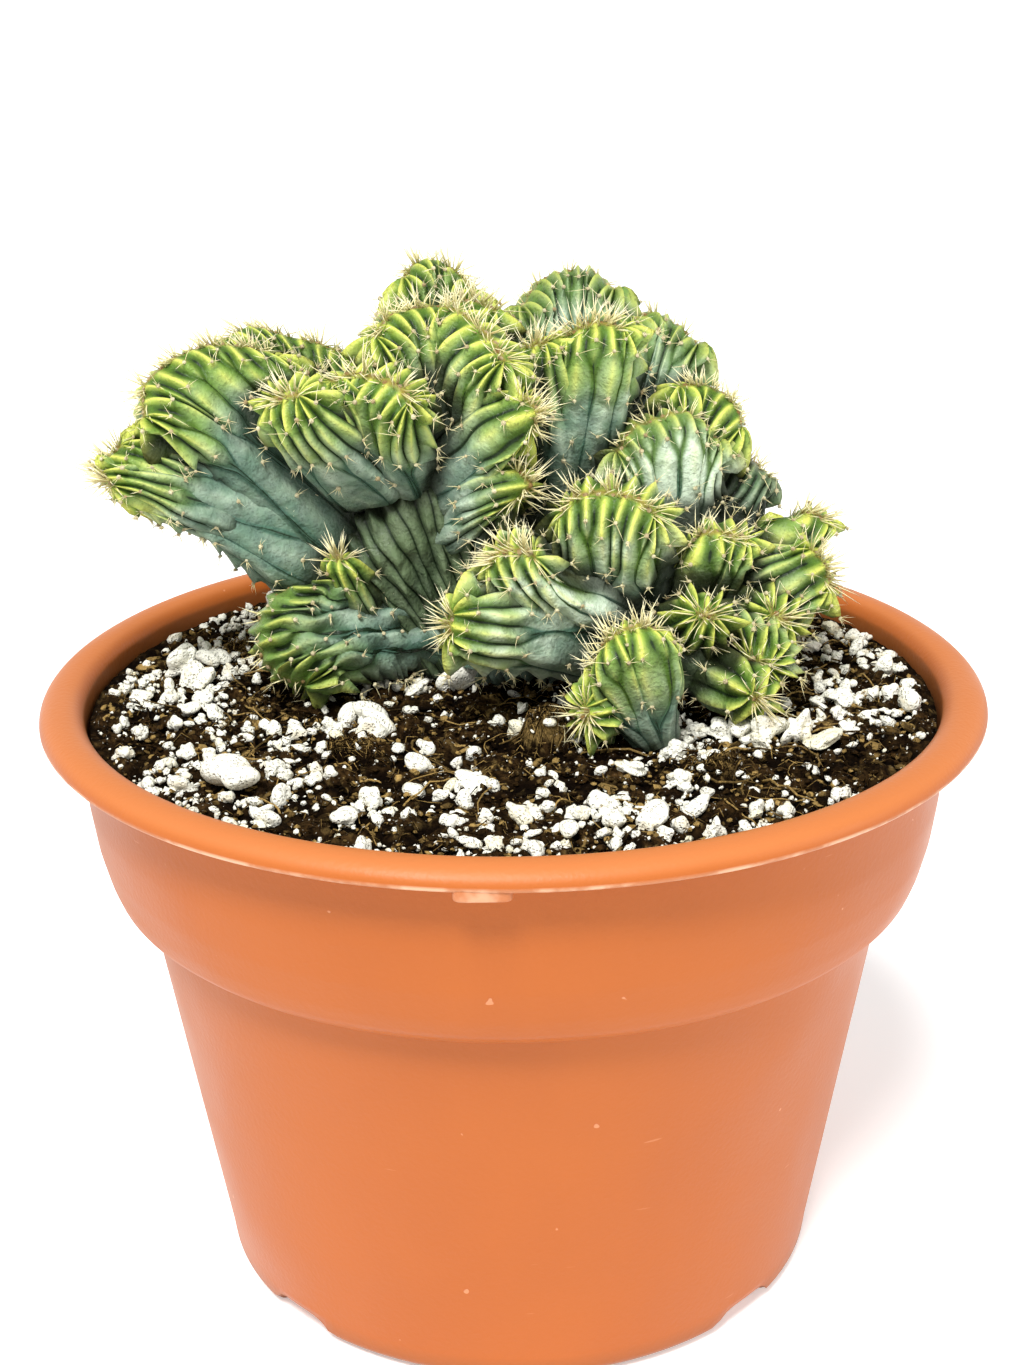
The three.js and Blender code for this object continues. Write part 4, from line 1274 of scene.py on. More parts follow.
R = Region
HEADS = (
    Head("left_low", R.LEFT, (-33, 21, 159), (18, 9), 7.6,
         ((-85, 2, 183.5), (-89, 0, 188), (-85, 3, 192)), end=4.8, pitch=3.4, wax=0.3),
    Head("left_high", R.LEFT, (-33, 22, 167), (20, 9), 9,
         ((-79, 1, 199), (-79, 4, 205), (-73, 8, 210),
          (-66, 12, 212), (-58, 15, 211), (-52, 18, 208)), pitch=3.4, wax=0.3),
    Head("left_behind", R.LEFT, (-30, 28, 174), (18, 8), 6.5,
         ((-64, 29, 210), (-59, 32, 212), (-52, 33, 210), (-44, 33, 208), (-38, 32, 206))),
    Head("middle_star", R.MIDDLE, (-29, 14, 179), (10, 7.5), 8,
         ((-50, -4, 204), (-45, -6, 205)), end=7.2, pitch=4.0),
    Head("middle_low", R.MIDDLE, (-24, 13, 180), (9, 6.5), 7.8,
         ((-38, -2, 207), (-34, 0, 208), (-29, -3, 208), (-24, -7, 207), (-21, -8, 204)), pitch=3.1),
    Head("middle_high", R.MIDDLE, (-14, 18, 176), (17, 9), 9,
         ((-29, 10, 214), (-26, 13, 218), (-20, 16, 219), (-14, 17, 219),
          (-8, 12, 217), (-3, 5, 213), (-1, 2, 210))),
    Head("centre_star", R.MIDDLE, (-15, 15, 180), (12, 8), 7.4,
         ((3, 0, 203), (6, -4, 200), (5, -2, 196)), end=6.5, pitch=4.0),
    Head("centre_low_star", R.MIDDLE, (-15, 16, 172), (10, 8), 6.6,
         ((2, -1, 187), (4, -4, 184), (2, -2, 180)), end=5.5, youth=0.55, wax=0.6, pitch=3.1),
    Head("top_left", R.TOP, (-10, 32, 178), (16, 9), 7.6,
         ((-24, 42, 221), (-21, 45, 224), (-16, 46, 224), (-11, 44, 221), (-8, 42, 218))),
    Head("top_near", R.TOP, (-8, 28, 180), (12, 8), 6,
         ((-13, 29, 217), (-8, 30, 218), (-3, 28, 216)), pitch=4.0),
    Head("top_right", R.TOP, (14, 36, 168), (16, 9), 7.5,
         ((3, 50, 212), (7, 55, 217), (13, 58, 219), (20, 58, 219), (25, 54, 215)),
         youth=0.45, wax=0.6, spiny=0.4),
    Head("back_star", R.TOP, (8, 30, 170), (10, 8), 7,
         ((4, 17, 210), (8, 16, 211)), end=6.4, pitch=4.0),
    Head("back_middle", R.TOP, (14, 31, 170), (11, 8), 8,
         ((13, 17.5, 212.5), (19, 16.5, 215), (25, 17.5, 214)), end=5.0, pitch=2.9),
    Head("right_high", R.TOP, (24, 36, 170), (15, 9), 7.6,
         ((29, 44, 210), (34, 48, 211), (40, 47, 208), (44, 44, 204)), youth=0.45, wax=0.6, spiny=0.4),
    Head("right_back", R.RIGHT, (34, 30, 163), (14, 8), 7,
         ((39, 28, 198), (44, 30, 198), (49, 29, 196), (52, 27, 193), (53, 26, 189)), youth=0.8),
    Head("right_broad", R.RIGHT, (35, 24, 156), (17, 9), 7.5,
         ((24, 15, 186), (27, 16, 191), (33, 18, 193), (39, 20, 194), (44, 22, 191), (47, 22, 187)),
         pitch=3.0, youth=0.45, wax=1.3, dry=0.03, spiny=0.45),
    Head("right_dull", R.RIGHT, (43, 27, 154), (13, 8), 6,
         ((54, 32, 181), (57, 31, 179), (60, 30, 176)),
         pitch=2.6, youth=0.25, wax=0.5, dry=0.3, spiny=0.6, knobby=0.5),
    Head("front_upper", R.FRONT, (24, 12, 150), (15, 9), 9.2,
         ((11, -3, 178), (14, -6, 182), (18, -7, 183), (23, -8, 183), (27, -9, 182), (31, -9, 179)),
         wax=0.8),
    Head("front_right_pair", R.RIGHT, (38, 14, 149), (13, 8), 7.6,
         ((40, 2, 169), (43, -1, 172), (48, 1, 171), (52, 1, 170)), wax=0.6, pitch=3.1),
    Head("right_far", R.RIGHT, (46, 20, 150), (13, 9), 8,
         ((63, 14, 170), (67, 12, 172.5), (71, 12, 171)), pitch=4.0),
    Head("right_end", R.RIGHT, (46, 16, 149), (13, 9), 9,
         ((67, 5, 166), (70, 3, 163), (71, 3, 158)), pitch=4.0),
    Head("right_low_star", R.RIGHT, (47, 12, 145), (12, 8.5), 8.4,
         ((57, -7, 155), (61, -7, 153)), pitch=4.0),
    Head("right_lowest_star", R.RIGHT, (48, 8, 145), (10, 8), 8.4,
         ((51, -17, 148), (55, -19, 147)), end=7.6, pitch=4.0),
    Head("soil_right", R.FRONT, (42, -4, 142), (8, 6.5), 6.4,
         ((51, -26, 143), (54, -25, 141)), pitch=4.0),
    Head("front_right", R.FRONT, (31.5, -24, 131), (5, 4.5), 6.7,
         ((18, -26, 149), (18, -29, 154), (20, -31, 158),
          (23, -31, 160), (27, -31, 161), (30, -28, 159)), pitch=2.2),
    Head("front_right_star", R.FRONT, (37, 2, 144), (9, 7.5), 6.2,
         ((40, -18, 159), (43, -19, 159)), end=5.4, pitch=4.0),
    Head("front_lobe", R.FRONT, (30, -8, 141), (8, 6), 6,
         ((15, -32, 143), (15, -33, 140.5)), end=5.2, pitch=4.0),
    Head("front_centre", R.FRONT, (20, 4, 150), (13, 8), 8,
         ((-5, -14, 170), (-2, -16, 173), (2, -16, 173), (5, -14, 171)), wax=1.2),
    Head("front_centre_star", R.FRONT, (20, 2, 148), (12, 7.5), 7,
         ((-13, -20, 160), (-14, -21, 156)), end=6, wax=0.8, pitch=4.0),
    Head("soil_left", R.LOW, (-15, 22, 146), (15, 8), 8.4,
         ((-46, -3, 138.2), (-53, -3, 141), (-57, -1, 147), (-56, 3, 153.5),
          (-50, 7, 158), (-43, 11, 158), (-37, 14, 156)),
         pitch=3.3, youth=0.5, wax=0.35, dry=0.03, spiny=0.25, knobby=1.0),
    Head("soil_left_star", R.LOW, (-33, 12, 148), (5, 4.5), 3.2,
         ((-39.5, 2, 166.5), (-37.5, 2, 166.5)), end=2.8, pitch=2.4),
    Head("soil_front", R.LOW, (6, 14, 142), (11, 5.5), 6,
         ((-7, 1, 140.5), (-3, -1, 142), (3, -1, 142.5), (9, 1, 142), (12, 4, 140.5)),
         pitch=2.8, youth=0.0, wax=0.3, dry=0.2, spiny=0.2, knobby=1.0),
    Head("rear_left", R.REAR, (-22, 32, 164), (16, 9), 8,
         ((-52, 48, 172), (-50, 55, 180), (-42, 58, 184), (-33, 57, 183))),
    Head("rear_middle", R.REAR, (0, 36, 160), (17, 9), 8.5,
         ((-18, 62, 168), (-12, 68, 176), (-2, 70, 179), (9, 68, 176), (15, 62, 169))),
    Head("rear_right", R.REAR, (32, 32, 158), (16, 9), 8,
         ((28, 62, 166), (35, 62, 174), (45, 57, 176), (53, 50, 170), (56, 46, 163))),
    Head("rear_low", R.REAR, (-12, 32, 146), (12, 8), 7.2,
         ((-36, 52, 145), (-36, 55, 151), (-29, 58, 155), (-20, 58, 154)), youth=0.7),
    Head("rear_low_right", R.REAR, (40, 24, 145), (12, 8), 7.4,
         ((58, 42, 144), (64, 38, 151), (68, 29, 154), (69, 22, 150)), youth=0.7),
    Head("left_tip", R.LEFT, (-60, 8, 174), (6, 4.5), 6.6,
         ((-86.5, -3.5, 185), (-88.3, -3.5, 187.5)), end=4.4, pitch=4.0),
)
TRUNK = Head("trunk", R.LOW, (-8, 21, 136), (20, 9), 10,
             ((-41, 15, 164), (-32, 13, 176), (-19, 13, 186), (-5, 16, 187)),
             pitch=3.0, youth=0.0, wax=0.15, bark=1.0, spiny=0.0)
TRUNK_SEED = 90
# Thick woody middles, each its centre and half size
MIDDLES = (
    ((-14, 25, 169), (19.5, 12, 20.5)),
    ((9, 31, 166), (20.5, 13, 24)),
    ((35, 19, 152), (20.5, 14, 18.5)),
    ((38, 1, 146), (12, 17, 11)),
)
# Stems in the soil, each its place and half size
STEMS = (((-8, 24), (13, 9)), ((34, 10), (13, 9.5)))


class HeadForm:
    """The ribbed surface of one head.

    A middle sheet runs from the root up to the growing line. The skin stands off it by half the head's
    depth and is rounded over at the ends and along the top. A place along the half section counts half
    ribs: ridges at even numbers, grooves at odd ones. far is the distance down from the growing line.
    """

    FORK_PULL = 0.92  # how far a young rib closes up below its fork
    FORK_RUN = 8.0  # and over what distance
    FORK_NEVER = 1e3  # the fork of a rib that runs down to the root
    FIN = 1.9  # half width of a ridge near the growing line
    KEEL = 0.34  # half width of a tooth's sharp back, in half ribs
    # The yellow line on a ridge's sharp back is young colour and a painted highlight together.
    GOLD = 0.27  # half width of the yellow line on it
    NUDGE = 1e-3  # the step by which directions are measured
    AREOLE_FIRST = 12.2  # distance of the first areoles from the growing line
    AREOLE_STAGGER = 3.4  # how much nearer they are on every other rib
    AREOLE_STEP = 11.5  # distance between areoles along a rib
    END_STEP = 0.58  # the same on the two end ribs, as a share of it
    DROP = 0.14  # the share of a tooth's length that its steep side takes
    END_DROP = 0.3  # the same on the two end ribs
    ROW_NEAR, ROW_FAR = 1.15, 1.7  # spacing of the mesh's rows near the growing line and beyond
    NEAR = 27.0  # where the one turns to the other
    HALF_RIDGE = (0, 0.3, 0.58, 0.82)  # columns of the mesh from a ridge to the next groove
    HALF_GROOVE = (0, 0.18, 0.42, 0.7)  # and from a groove to the next ridge

    def __init__(self, head: Head, seed: int) -> None:
        """Works out the head's axis, widths and ribs.

        Args:
            head: its place, size and looks.
            seed: picks the random numbers of its ribs.
        """
        self.head, self.seed = head, seed
        self.points = np.array(head.line, float)
        self.root = np.array(head.root, float)
        self.axis = self.line_at(np.array(0.5)) - self.root
        self.length = float(np.linalg.norm(self.axis))
        across = self.line_at(np.array(1.0)) - self.line_at(np.array(0.0))
        self.across = unit(across - self.axis * (across @ self.axis) / self.length ** 2)
        self.end = head.end or head.thick * 0.55
        self.shoulder = 1 - min(0.5, 1.05 * head.thick / self.length)
        steps = self.strand(np.linspace(0, 1, 13), np.array(self.shoulder))
        width = np.linalg.norm(np.diff(steps, axis=0), axis=1).sum()
        self.flare = 0.7 + 1.6 * min(1.0, width / 18)
        half = width + math.pi * (self.end + head.thick) / 2
        self.ribs = max(4, 2 * round(half / head.pitch / 2))
        self.end_share = math.pi * (self.end + head.thick) / 4 / half
        self.dome = 0.25 * math.pi * ((1 - self.shoulder) * self.length + head.thick)
        self.reach = self.dome + self.shoulder * self.length
        self.draw_ribs(0.6 if head.pitch < 3.2 or width < 12 else 0.8)

    def draw_ribs(self, nearness: float) -> None:
        """Draws, for each rib on the front and the back, its first areole, the distance between its
        areoles, where it runs into its neighbour, and how bold it is.

        Args:
            nearness: the first areoles' distance as a share of the usual one.
        """
        rng = np.random.default_rng(1000 + self.seed)
        shape = (2, self.ribs + 1)
        order = np.arange(self.ribs + 1)
        first = self.AREOLE_FIRST - self.AREOLE_STAGGER * (order % 2) + rng.uniform(-1.8, 1.8, shape)
        self.first = self.same_ends(first * nearness)
        step = self.AREOLE_STEP * mix(1.0, 0.55, self.head.knobby)
        self.step = self.same_ends(step * rng.uniform(0.85, 1.15, shape))
        self.step[:, [0, -1]] *= self.END_STEP
        early = (order % 2 == 1) & (self.ribs > 9)
        teeth = np.where(early, rng.uniform(0, 1, shape) > 0.72, rng.uniform(0.6, 2.1, shape).round())
        lasting = (order % 4 == 0) | (order == self.ribs) | (self.head.bark > 0)
        lasting |= (order % 2 == 0) & (self.ribs < 12)
        self.fork = np.where(lasting, self.FORK_NEVER, self.first + teeth * self.step)
        self.bold = self.same_ends(rng.uniform(0.8, 1.25, shape))

    @staticmethod
    def same_ends(table: Array) -> Array:
        """Ribs at the two ends belong to the front and the back at once."""
        table[1, 0], table[1, -1] = table[0, 0], table[0, -1]
        return table

    def line_at(self, u: Array) -> Array:
        """The growing line: a Catmull-Rom curve through its points.

        Args:
            u: 0 to 1 along it.

        Returns:
            The points.
        """
        p = self.points
        padded = np.vstack([2 * p[0] - p[1], p, 2 * p[-1] - p[-2]])
        x = np.clip(u, 0, 1) * (len(p) - 1)
        i = np.minimum(x.astype(int), len(p) - 2)
        w = (x - i)[..., None]
        a, b, c, d = padded[i], padded[i + 1], padded[i + 2], padded[i + 3]
        t0, t1 = (c - a) / 2, (d - b) / 2
        return b + w * t0 + w ** 2 * (3 * (c - b) - 2 * t0 - t1) + w ** 3 * (2 * (b - c) + t0 + t1)

    def strand(self, u: Array, s: Array) -> Array:
        """A point of the middle sheet: a cubic from the root line, s 0, to the growing line, s 1.

        Args:
            u: 0 to 1 along the growing line.
            s: 0 to 1 up the strand.

        Returns:
            The points.
        """
        start = self.root + self.across * ((u - 0.5) * self.head.root_size[0])[..., None]
        stop = self.line_at(u)
        leave, arrive = start + self.axis / 3, stop - (stop - self.root) / 3
        s = s[..., None]
        early = (1 - s) ** 3 * start + 3 * (1 - s) ** 2 * s * leave
        return early + 3 * (1 - s) * s * s * arrive + s ** 3 * stop

    def directions(self, u: Array, s: Array) -> tuple[Array, Array, Array]:
        """Unit directions on the sheet: along the growing line, towards it, and out of the sheet.

        Args:
            u: 0 to 1 along the growing line.
            s: 0 to 1 up the strand.

        Returns:
            The three directions.
        """
        n = self.NUDGE
        u0, s0 = np.clip(u - n, 0, 1 - 2 * n), np.clip(s - n, 0, 1 - 2 * n)
        along = unit(self.strand(u0 + 2 * n, s) - self.strand(u0, s))
        up = unit(self.strand(u, s0 + 2 * n) - self.strand(u, s0))
        return along, up, unit(np.cross(along, up))

    def level(self, far: Array) -> tuple[Array, Array]:
        """The sheet's level and the tilt of the round top, far down from the growing line.

        Args:
            far: distance down from the growing line.

        Returns:
            The level, 0 to 1, and the tilt in radians.
        """
        tilt = np.clip(1 - far / self.dome, 0, 1) * (math.pi / 2)
        dome = self.shoulder + (1 - self.shoulder) * np.sin(tilt)
        return np.where(far < self.dome, dome, self.shoulder - (far - self.dome) / self.length), tilt

    def forked(self, place: Array, moved: Array, far: Array, row: Array, every: int) -> Array:
        """Closes up ribs below their fork: within half a spacing of each young rib the places are drawn
        towards it and its neighbours widen, so that its two grooves run together into one.

        Args:
            place: half ribs as counted at the growing line.
            moved: where the places have got to so far.
            far: distance down from the growing line.
            row: 0 on the front and 1 on the back.
            every: spacing of the young ribs, in half ribs.

        Returns:
            The places after the move.
        """
        half = every / 4
        young = every * np.round((place - every / 2) / every) + every / 2
        rib = np.clip((young / 2).astype(int), 0, self.ribs)
        pull = self.FORK_PULL * smooth(far - self.fork[row, rib], 0.0, self.FORK_RUN)
        q = moved - young
        wide = np.sign(q) * (half * (1 - pull) + (np.abs(q) - half) * (1 + pull))
        return young + np.where(np.abs(q) < half, q * (1 - pull), wide)

    def section(self, place: Array, far: Array, row: Array) -> tuple[Array, Array]:
        """Where places come to lie round the half section, once ribs have forked and swayed.

        Args:
            place: half ribs along the half section.
            far: distance down from the growing line.
            row: 0 on the front and 1 on the back.

        Returns:
            The share of the way along the sheet, and the turn round its two ends, in radians.
        """
        steps = 2 * self.ribs
        moved = self.forked(place, place, far, row, 4)
        moved = self.forked(place, moved, far, row, 8)
        sway = 0.3 * np.sin(place * 0.5 + far * 0.17 + self.seed) + 0.1 * np.sin(far * 0.5 - place * 1.3)
        sway = sway + self.head.knobby * 0.7 * np.sin(far * 0.42 + 1.3 * np.sin(place * 0.9) + self.seed)
        sway = sway * smooth(np.minimum(place, steps - place), 0.0, 2.5) * smooth(far, 3.0, 14.0)
        share = np.clip((moved + sway) / steps, 0, 1)
        first_end, last_end = share < self.end_share, share > 1 - self.end_share
        flat = (share - self.end_share) / (1 - 2 * self.end_share)
        u = np.where(first_end, 0.0, np.where(last_end, 1.0, flat))
        turn = np.where(first_end, share / self.end_share - 1,
                        np.where(last_end, 1 - (1 - share) / self.end_share, 0.0)) * (math.pi / 2)
        return u, turn

    def teeth(self, rib: Array, row: Array, far: Array) -> tuple[Array, Array, Array]:
        """The teeth of a rib: each climbs slowly, as a power of the distance, to its areole and falls off
        steeply below it.

        Args:
            rib: the rib's number.
            row: 0 on the front and 1 on the back.
            far: distance down from the growing line.

        Returns:
            The teeth's height, the share of the way from one areole to the next, and how strongly the ridge
            shows its yellow line with its painted highlight, all from 0 to 1.
        """
        beat = (far - self.first[row, rib]) / self.step[row, rib]
        phase = np.where(beat < 0, np.clip(1 + beat, 0, 1), beat - np.floor(beat))
        drop = np.where((rib == 0) | (rib == self.ribs), self.END_DROP, self.DROP)
        climb = np.clip((phase - drop) / (1 - drop), 0, 1)
        later = np.where(phase < drop, 1 - 0.95 * smooth(phase / drop, 0, 1), 0.05 + 0.95 * climb ** 1.5)
        gilt_and_highlight = np.where(beat < 0, mix(0.75, 1.0, climb), mix(0.14, 0.5, 1 - smooth(far, 12.0, 26.0)))
        return np.where(beat < 0, 0.5 + 0.5 * climb, later), phase, gilt_and_highlight

    def lumps(self, point: Array, place: Array, far: Array, crest: Array) -> Array:
        """Lumps, gnarls and the folds of bark that the skin has beside its ribs.

        Args:
            point: the points of the ribbed skin.
            place: half ribs along the half section.
            far: distance down from the growing line.
            crest: 1 near the growing line and 0 on old growth.

        Returns:
            How far each point is raised.
        """
        head = self.head
        raised = 0.35 * ripple(point, 13.0, self.seed)
        raised = raised + 0.16 * (1 - crest) * ripple(point, 4.2, self.seed + 7)
        raised = raised + 1.3 * head.knobby * ripple(point, 8.0, self.seed + 5)
        folds = 1 - 2 * np.abs(np.sin(0.8 * place + 0.9 * np.sin(far * 0.13 + self.seed) + 0.06 * far))
        long_lumps = ripple(point * np.array([1, 1, 0.5]), 5.0, self.seed + 9)
        raised = raised + head.bark * (0.9 * folds + 0.35 * long_lumps)
        return raised * smooth(far, 0.0, 5.0)

    def lasting(self, rib: Array, row: Array, far: Array) -> Array:
        """How much of a rib is left: 1 above its fork, 0 below it."""
        return 1 - smooth(far - self.fork[row, rib], 0.0, self.FORK_RUN * 0.7)

    def skin(self, place: Array, far: Array, side: Array) -> tuple[Array, Array, dict[str, Array]]:
        """Points of the ribbed skin: the middle sheet, moved out by the head's depth, by the ribs' rise
        (from -low in the grooves to top on the ridges) and by lumps.

        Args:
            place: half ribs along the half section.
            far: distance down from the growing line.
            side: 1 on the front and -1 on the back.

        Returns:
            The points, their outward directions, and the values that the finish reads.
        """
        head = self.head
        s, tilt = self.level(far)
        rib = np.clip(np.round(place / 2).astype(int), 0, self.ribs)
        row = np.where(side > 0, 0, 1)
        u, turn = self.section(place, far, row)
        body = smooth(s, 0.0, self.shoulder)
        depth = mix(head.root_size[1], head.thick, body) * np.cos(tilt)
        edge = mix(head.root_size[1] * 0.6, self.end, body) * np.cos(tilt)
        along, up, out = self.directions(u, np.minimum(s, 0.999))
        radial = out * (np.cos(turn) * side)[..., None] + along * np.sin(turn)[..., None]
        normal = unit(radial * np.cos(tilt)[..., None] + up * np.sin(tilt)[..., None])

        crest = np.maximum(1 - smooth(far, 5.0, 20.0), 0.7 * head.knobby)
        off = np.abs(place - 2 * rib)
        fin = 0.15 * (1 + np.cos(math.pi * off)) + 0.7 * np.exp(-(off * head.pitch / self.FIN) ** 2)
        flank = mix(1 - off ** 4.2, fin, crest)
        tooth, phase, gilt_and_highlight = self.teeth(rib, row, far)
        keel = np.exp(-(off / self.KEEL) ** 2)
        grown = self.lasting(rib, row, far)
        beside = np.clip(rib + np.where(place > 2 * rib, 1, -1), 0, self.ribs)
        shared = self.lasting(beside, row, far)
        groove = mix(off * (0.55 + 0.45 * shared), 1 - 0.6 * off, 1 - grown)
        scale = min(1.0, head.pitch / 3.8)
        margin = 1 + self.flare * np.sin(turn) ** 4 * mix(0.75, 1.0, crest)
        high = 0.15 + tooth * mix(0.35, 1.35, crest) + tooth * keel * mix(0.95, 0.75, crest)
        high = high * self.bold[row, rib] * margin
        low = mix(0.5, 1.1, crest) * scale
        top = high * scale * grown - 0.5 * low * (1 - grown)
        rise = -low + (top + low) * flank
        start = mix(0.6 * (1 - head.spiny), 1.0, smooth(far, 0.0, 3.5))
        swell = start * mix(0.45 + 0.5 * (1 - head.spiny), 1.0, smooth(far, 2.0, 9.0))
        swell = swell * (0.35 + 0.65 * body)

        point = self.strand(u, s) + out * (np.cos(turn) * depth * side)[..., None]
        point = point + along * (np.sin(turn) * edge)[..., None]
        point = point + normal * (rise * swell)[..., None]
        point = point + normal * self.lumps(point, place, far, crest)[..., None]

        ridge = np.clip(flank, 0, 1) * grown
        growing = 1 - smooth(far + 2.0 * np.sin(place * 0.9 + self.seed), 5.0, 27.0)
        woolly = 1 - smooth(far + 0.5 * np.sin(place * 2.6), 0.1, 1.1)
        waxed = smooth(far, 4.0 / (1 + head.wax), 26.0 / (1 + head.wax))
        withered = 0.5 + 0.9 * ripple(point, 9.0, self.seed + 3)
        values = {
            "youth": head.youth * growing,
            "ridge": mix(ridge, 0.5 + 0.5 * ridge, 1 - smooth(far, 0.0, 2.5)),
            # The yellow line on the ridge's sharp back, partly a painted highlight.
            "keel": np.exp(-(off / self.GOLD) ** 2) * grown * smooth(phase, 0.08, 0.3) * gilt_and_highlight,
            "crown": woolly * smooth(head.spiny, 0.1, 0.6),
            # Painted shade along the grooves and where ribs run together.
            "crease": np.clip(groove * (1 + 0.25 * head.knobby), 0, 1) * smooth(far, 1.0, 5.0),
            "shade": smooth(far, 0.6 * self.reach, self.reach) * (1 - head.bark),
            # Pale bloom, raised on the ridge's sharp back as a painted highlight.
            "wax": head.wax * waxed * mix(0.75, 1.5, keel * grown),
            "dry": np.clip(head.dry * withered + head.dry * (1 - smooth(far, 0, 9)), 0, 1),
            "bark": head.bark + 0 * far,
        }
        return point, normal, values

    def mesh(self) -> Patch:
        """The skin as a closed grid: half-rib columns round the section, rows from the line to the root.

        Returns:
            The head's skin, with the finish's values and its outward directions.
        """
        steps = 2 * self.ribs
        units = np.arange(steps)[:, None]
        even, odd = units + np.array(self.HALF_RIDGE), units + np.array(self.HALF_GROOVE)
        half = np.where(units % 2 == 0, even, odd).ravel()
        place = np.concatenate([half, [steps], half[1:][::-1]])
        side = np.concatenate([np.ones(len(half) + 1), -np.ones(len(half) - 1)])
        total = self.reach * 0.93
        near = min(total, self.NEAR)
        far = np.linspace(0, near, max(8, round(near / self.ROW_NEAR)))
        if total > near + 3:
            beyond = np.linspace(near, total, max(3, round((total - near) / self.ROW_FAR)))
            far = np.concatenate([far, beyond[1:]])
        shape = (len(far), len(place))
        grids = [np.broadcast_to(a, shape) for a in (place[None], far[:, None], side[None])]
        points, normals, values = self.skin(*grids)
        values |= {f"out_{axis}": normals[..., k] for k, axis in enumerate("xyz")}
        index = np.arange(points[..., 0].size).reshape(shape)
        index[0, len(half) + 1:] = index[0, 1: len(half)][::-1]
        faces = grid_faces(index, True)[:, ::-1]
        points = np.concatenate([points.reshape(-1, 3), points[-1].mean(axis=0)[None]])
        cap = fan(index[-1], len(points) - 1)[:, ::-1]
        values = {k: np.append(v.ravel(), v[-1].mean()) for k, v in values.items()}
        return compacted(Patch(points, [faces, cap], values))


class Crowding:
    """How closely surfaces crowd round a place, which the skin's finish paints as shade: their area is
    counted in cells, spread to the neighbours by a 1-2-1 blur along each axis, and read a little way out
    from a surface. The soil counts as a layer too, so skin near it gets painted shade as well.
    """

    CELL = 3.0  # width of a cell
    MARGIN = 15.0  # free space kept round the patches
    PASSES = 3  # how often the count is blurred
    AHEAD = 6.5  # how far out from a surface it is read
    SOIL = 133.0  # height at which the soil counts as a layer too

    def __init__(self, patches: list[Patch]) -> None:
        """Counts the area of all patches.

        Args:
            patches: the surfaces that may crowd each other.
        """
        points = np.concatenate([patch.points for patch in patches])
        areas = np.concatenate([self.shares(patch) for patch in patches])
        self.low = points.min(axis=0) - self.MARGIN
        self.shape = np.ceil((points.max(axis=0) + self.MARGIN - self.low) / self.CELL).astype(int) + 1
        cell = np.floor((points - self.low) / self.CELL).astype(int)
        flat = np.ravel_multi_index(tuple(cell.T), tuple(self.shape))
        counted = np.bincount(flat, areas, int(np.prod(self.shape)))
        field = counted.reshape(tuple(self.shape)) / self.CELL ** 2
        for _ in range(self.PASSES):
            for axis in range(3):
                field = (np.roll(field, 1, axis) + 2 * field + np.roll(field, -1, axis)) / 4
        self.field = field

    @staticmethod
    def shares(patch: Patch) -> Array:
        """The area that belongs to each point: its faces' areas, shared out evenly.

        Args:
            patch: the surface.

        Returns:
            An area for each of its points.
        """
        total = np.zeros(len(patch.points))
        for faces in patch.faces:
            corner = patch.points[faces]
            one, two = corner[:, 2] - corner[:, 0], corner[:, -1] - corner[:, 1]
            area = np.linalg.norm(np.cross(one, two), axis=1) / 2 / faces.shape[1]
            total += np.bincount(faces.ravel(), np.repeat(area, faces.shape[1]), len(total))
        return total

    def at(self, points: Array, normals: Array) -> Array:
        """Surfaces met just ahead of each point, in layers, blended between the cells' corners.

        Args:
            points: places on a surface.
            normals: their outward directions.

        Returns:
            The number of layers of surface there, not whole.
        """
        ahead = points + normals * self.AHEAD
        place = np.clip((ahead - self.low) / self.CELL - 0.5, 0, np.array(self.shape) - 1.001)
        base = np.floor(place).astype(int)
        share = place - base
        found = np.zeros(len(points))
        for corner in np.ndindex(2, 2, 2):
            weight = np.prod(np.where(np.array(corner) == 1, share, 1 - share), axis=1)
            found += weight * self.field[tuple((base + np.array(corner)).T)]
        return found + 0.35 * (1 - smooth(ahead[:, 2], self.SOIL, self.SOIL + 5.0))


def buried(points: Array) -> Array:
    """True for points that lie inside the plant's thick middles."""
    inside = [(((points - np.array(at)) / np.array(half)) ** 2).sum(-1) < 0.9 for at, half in MIDDLES]
    return np.any(inside, axis=0)


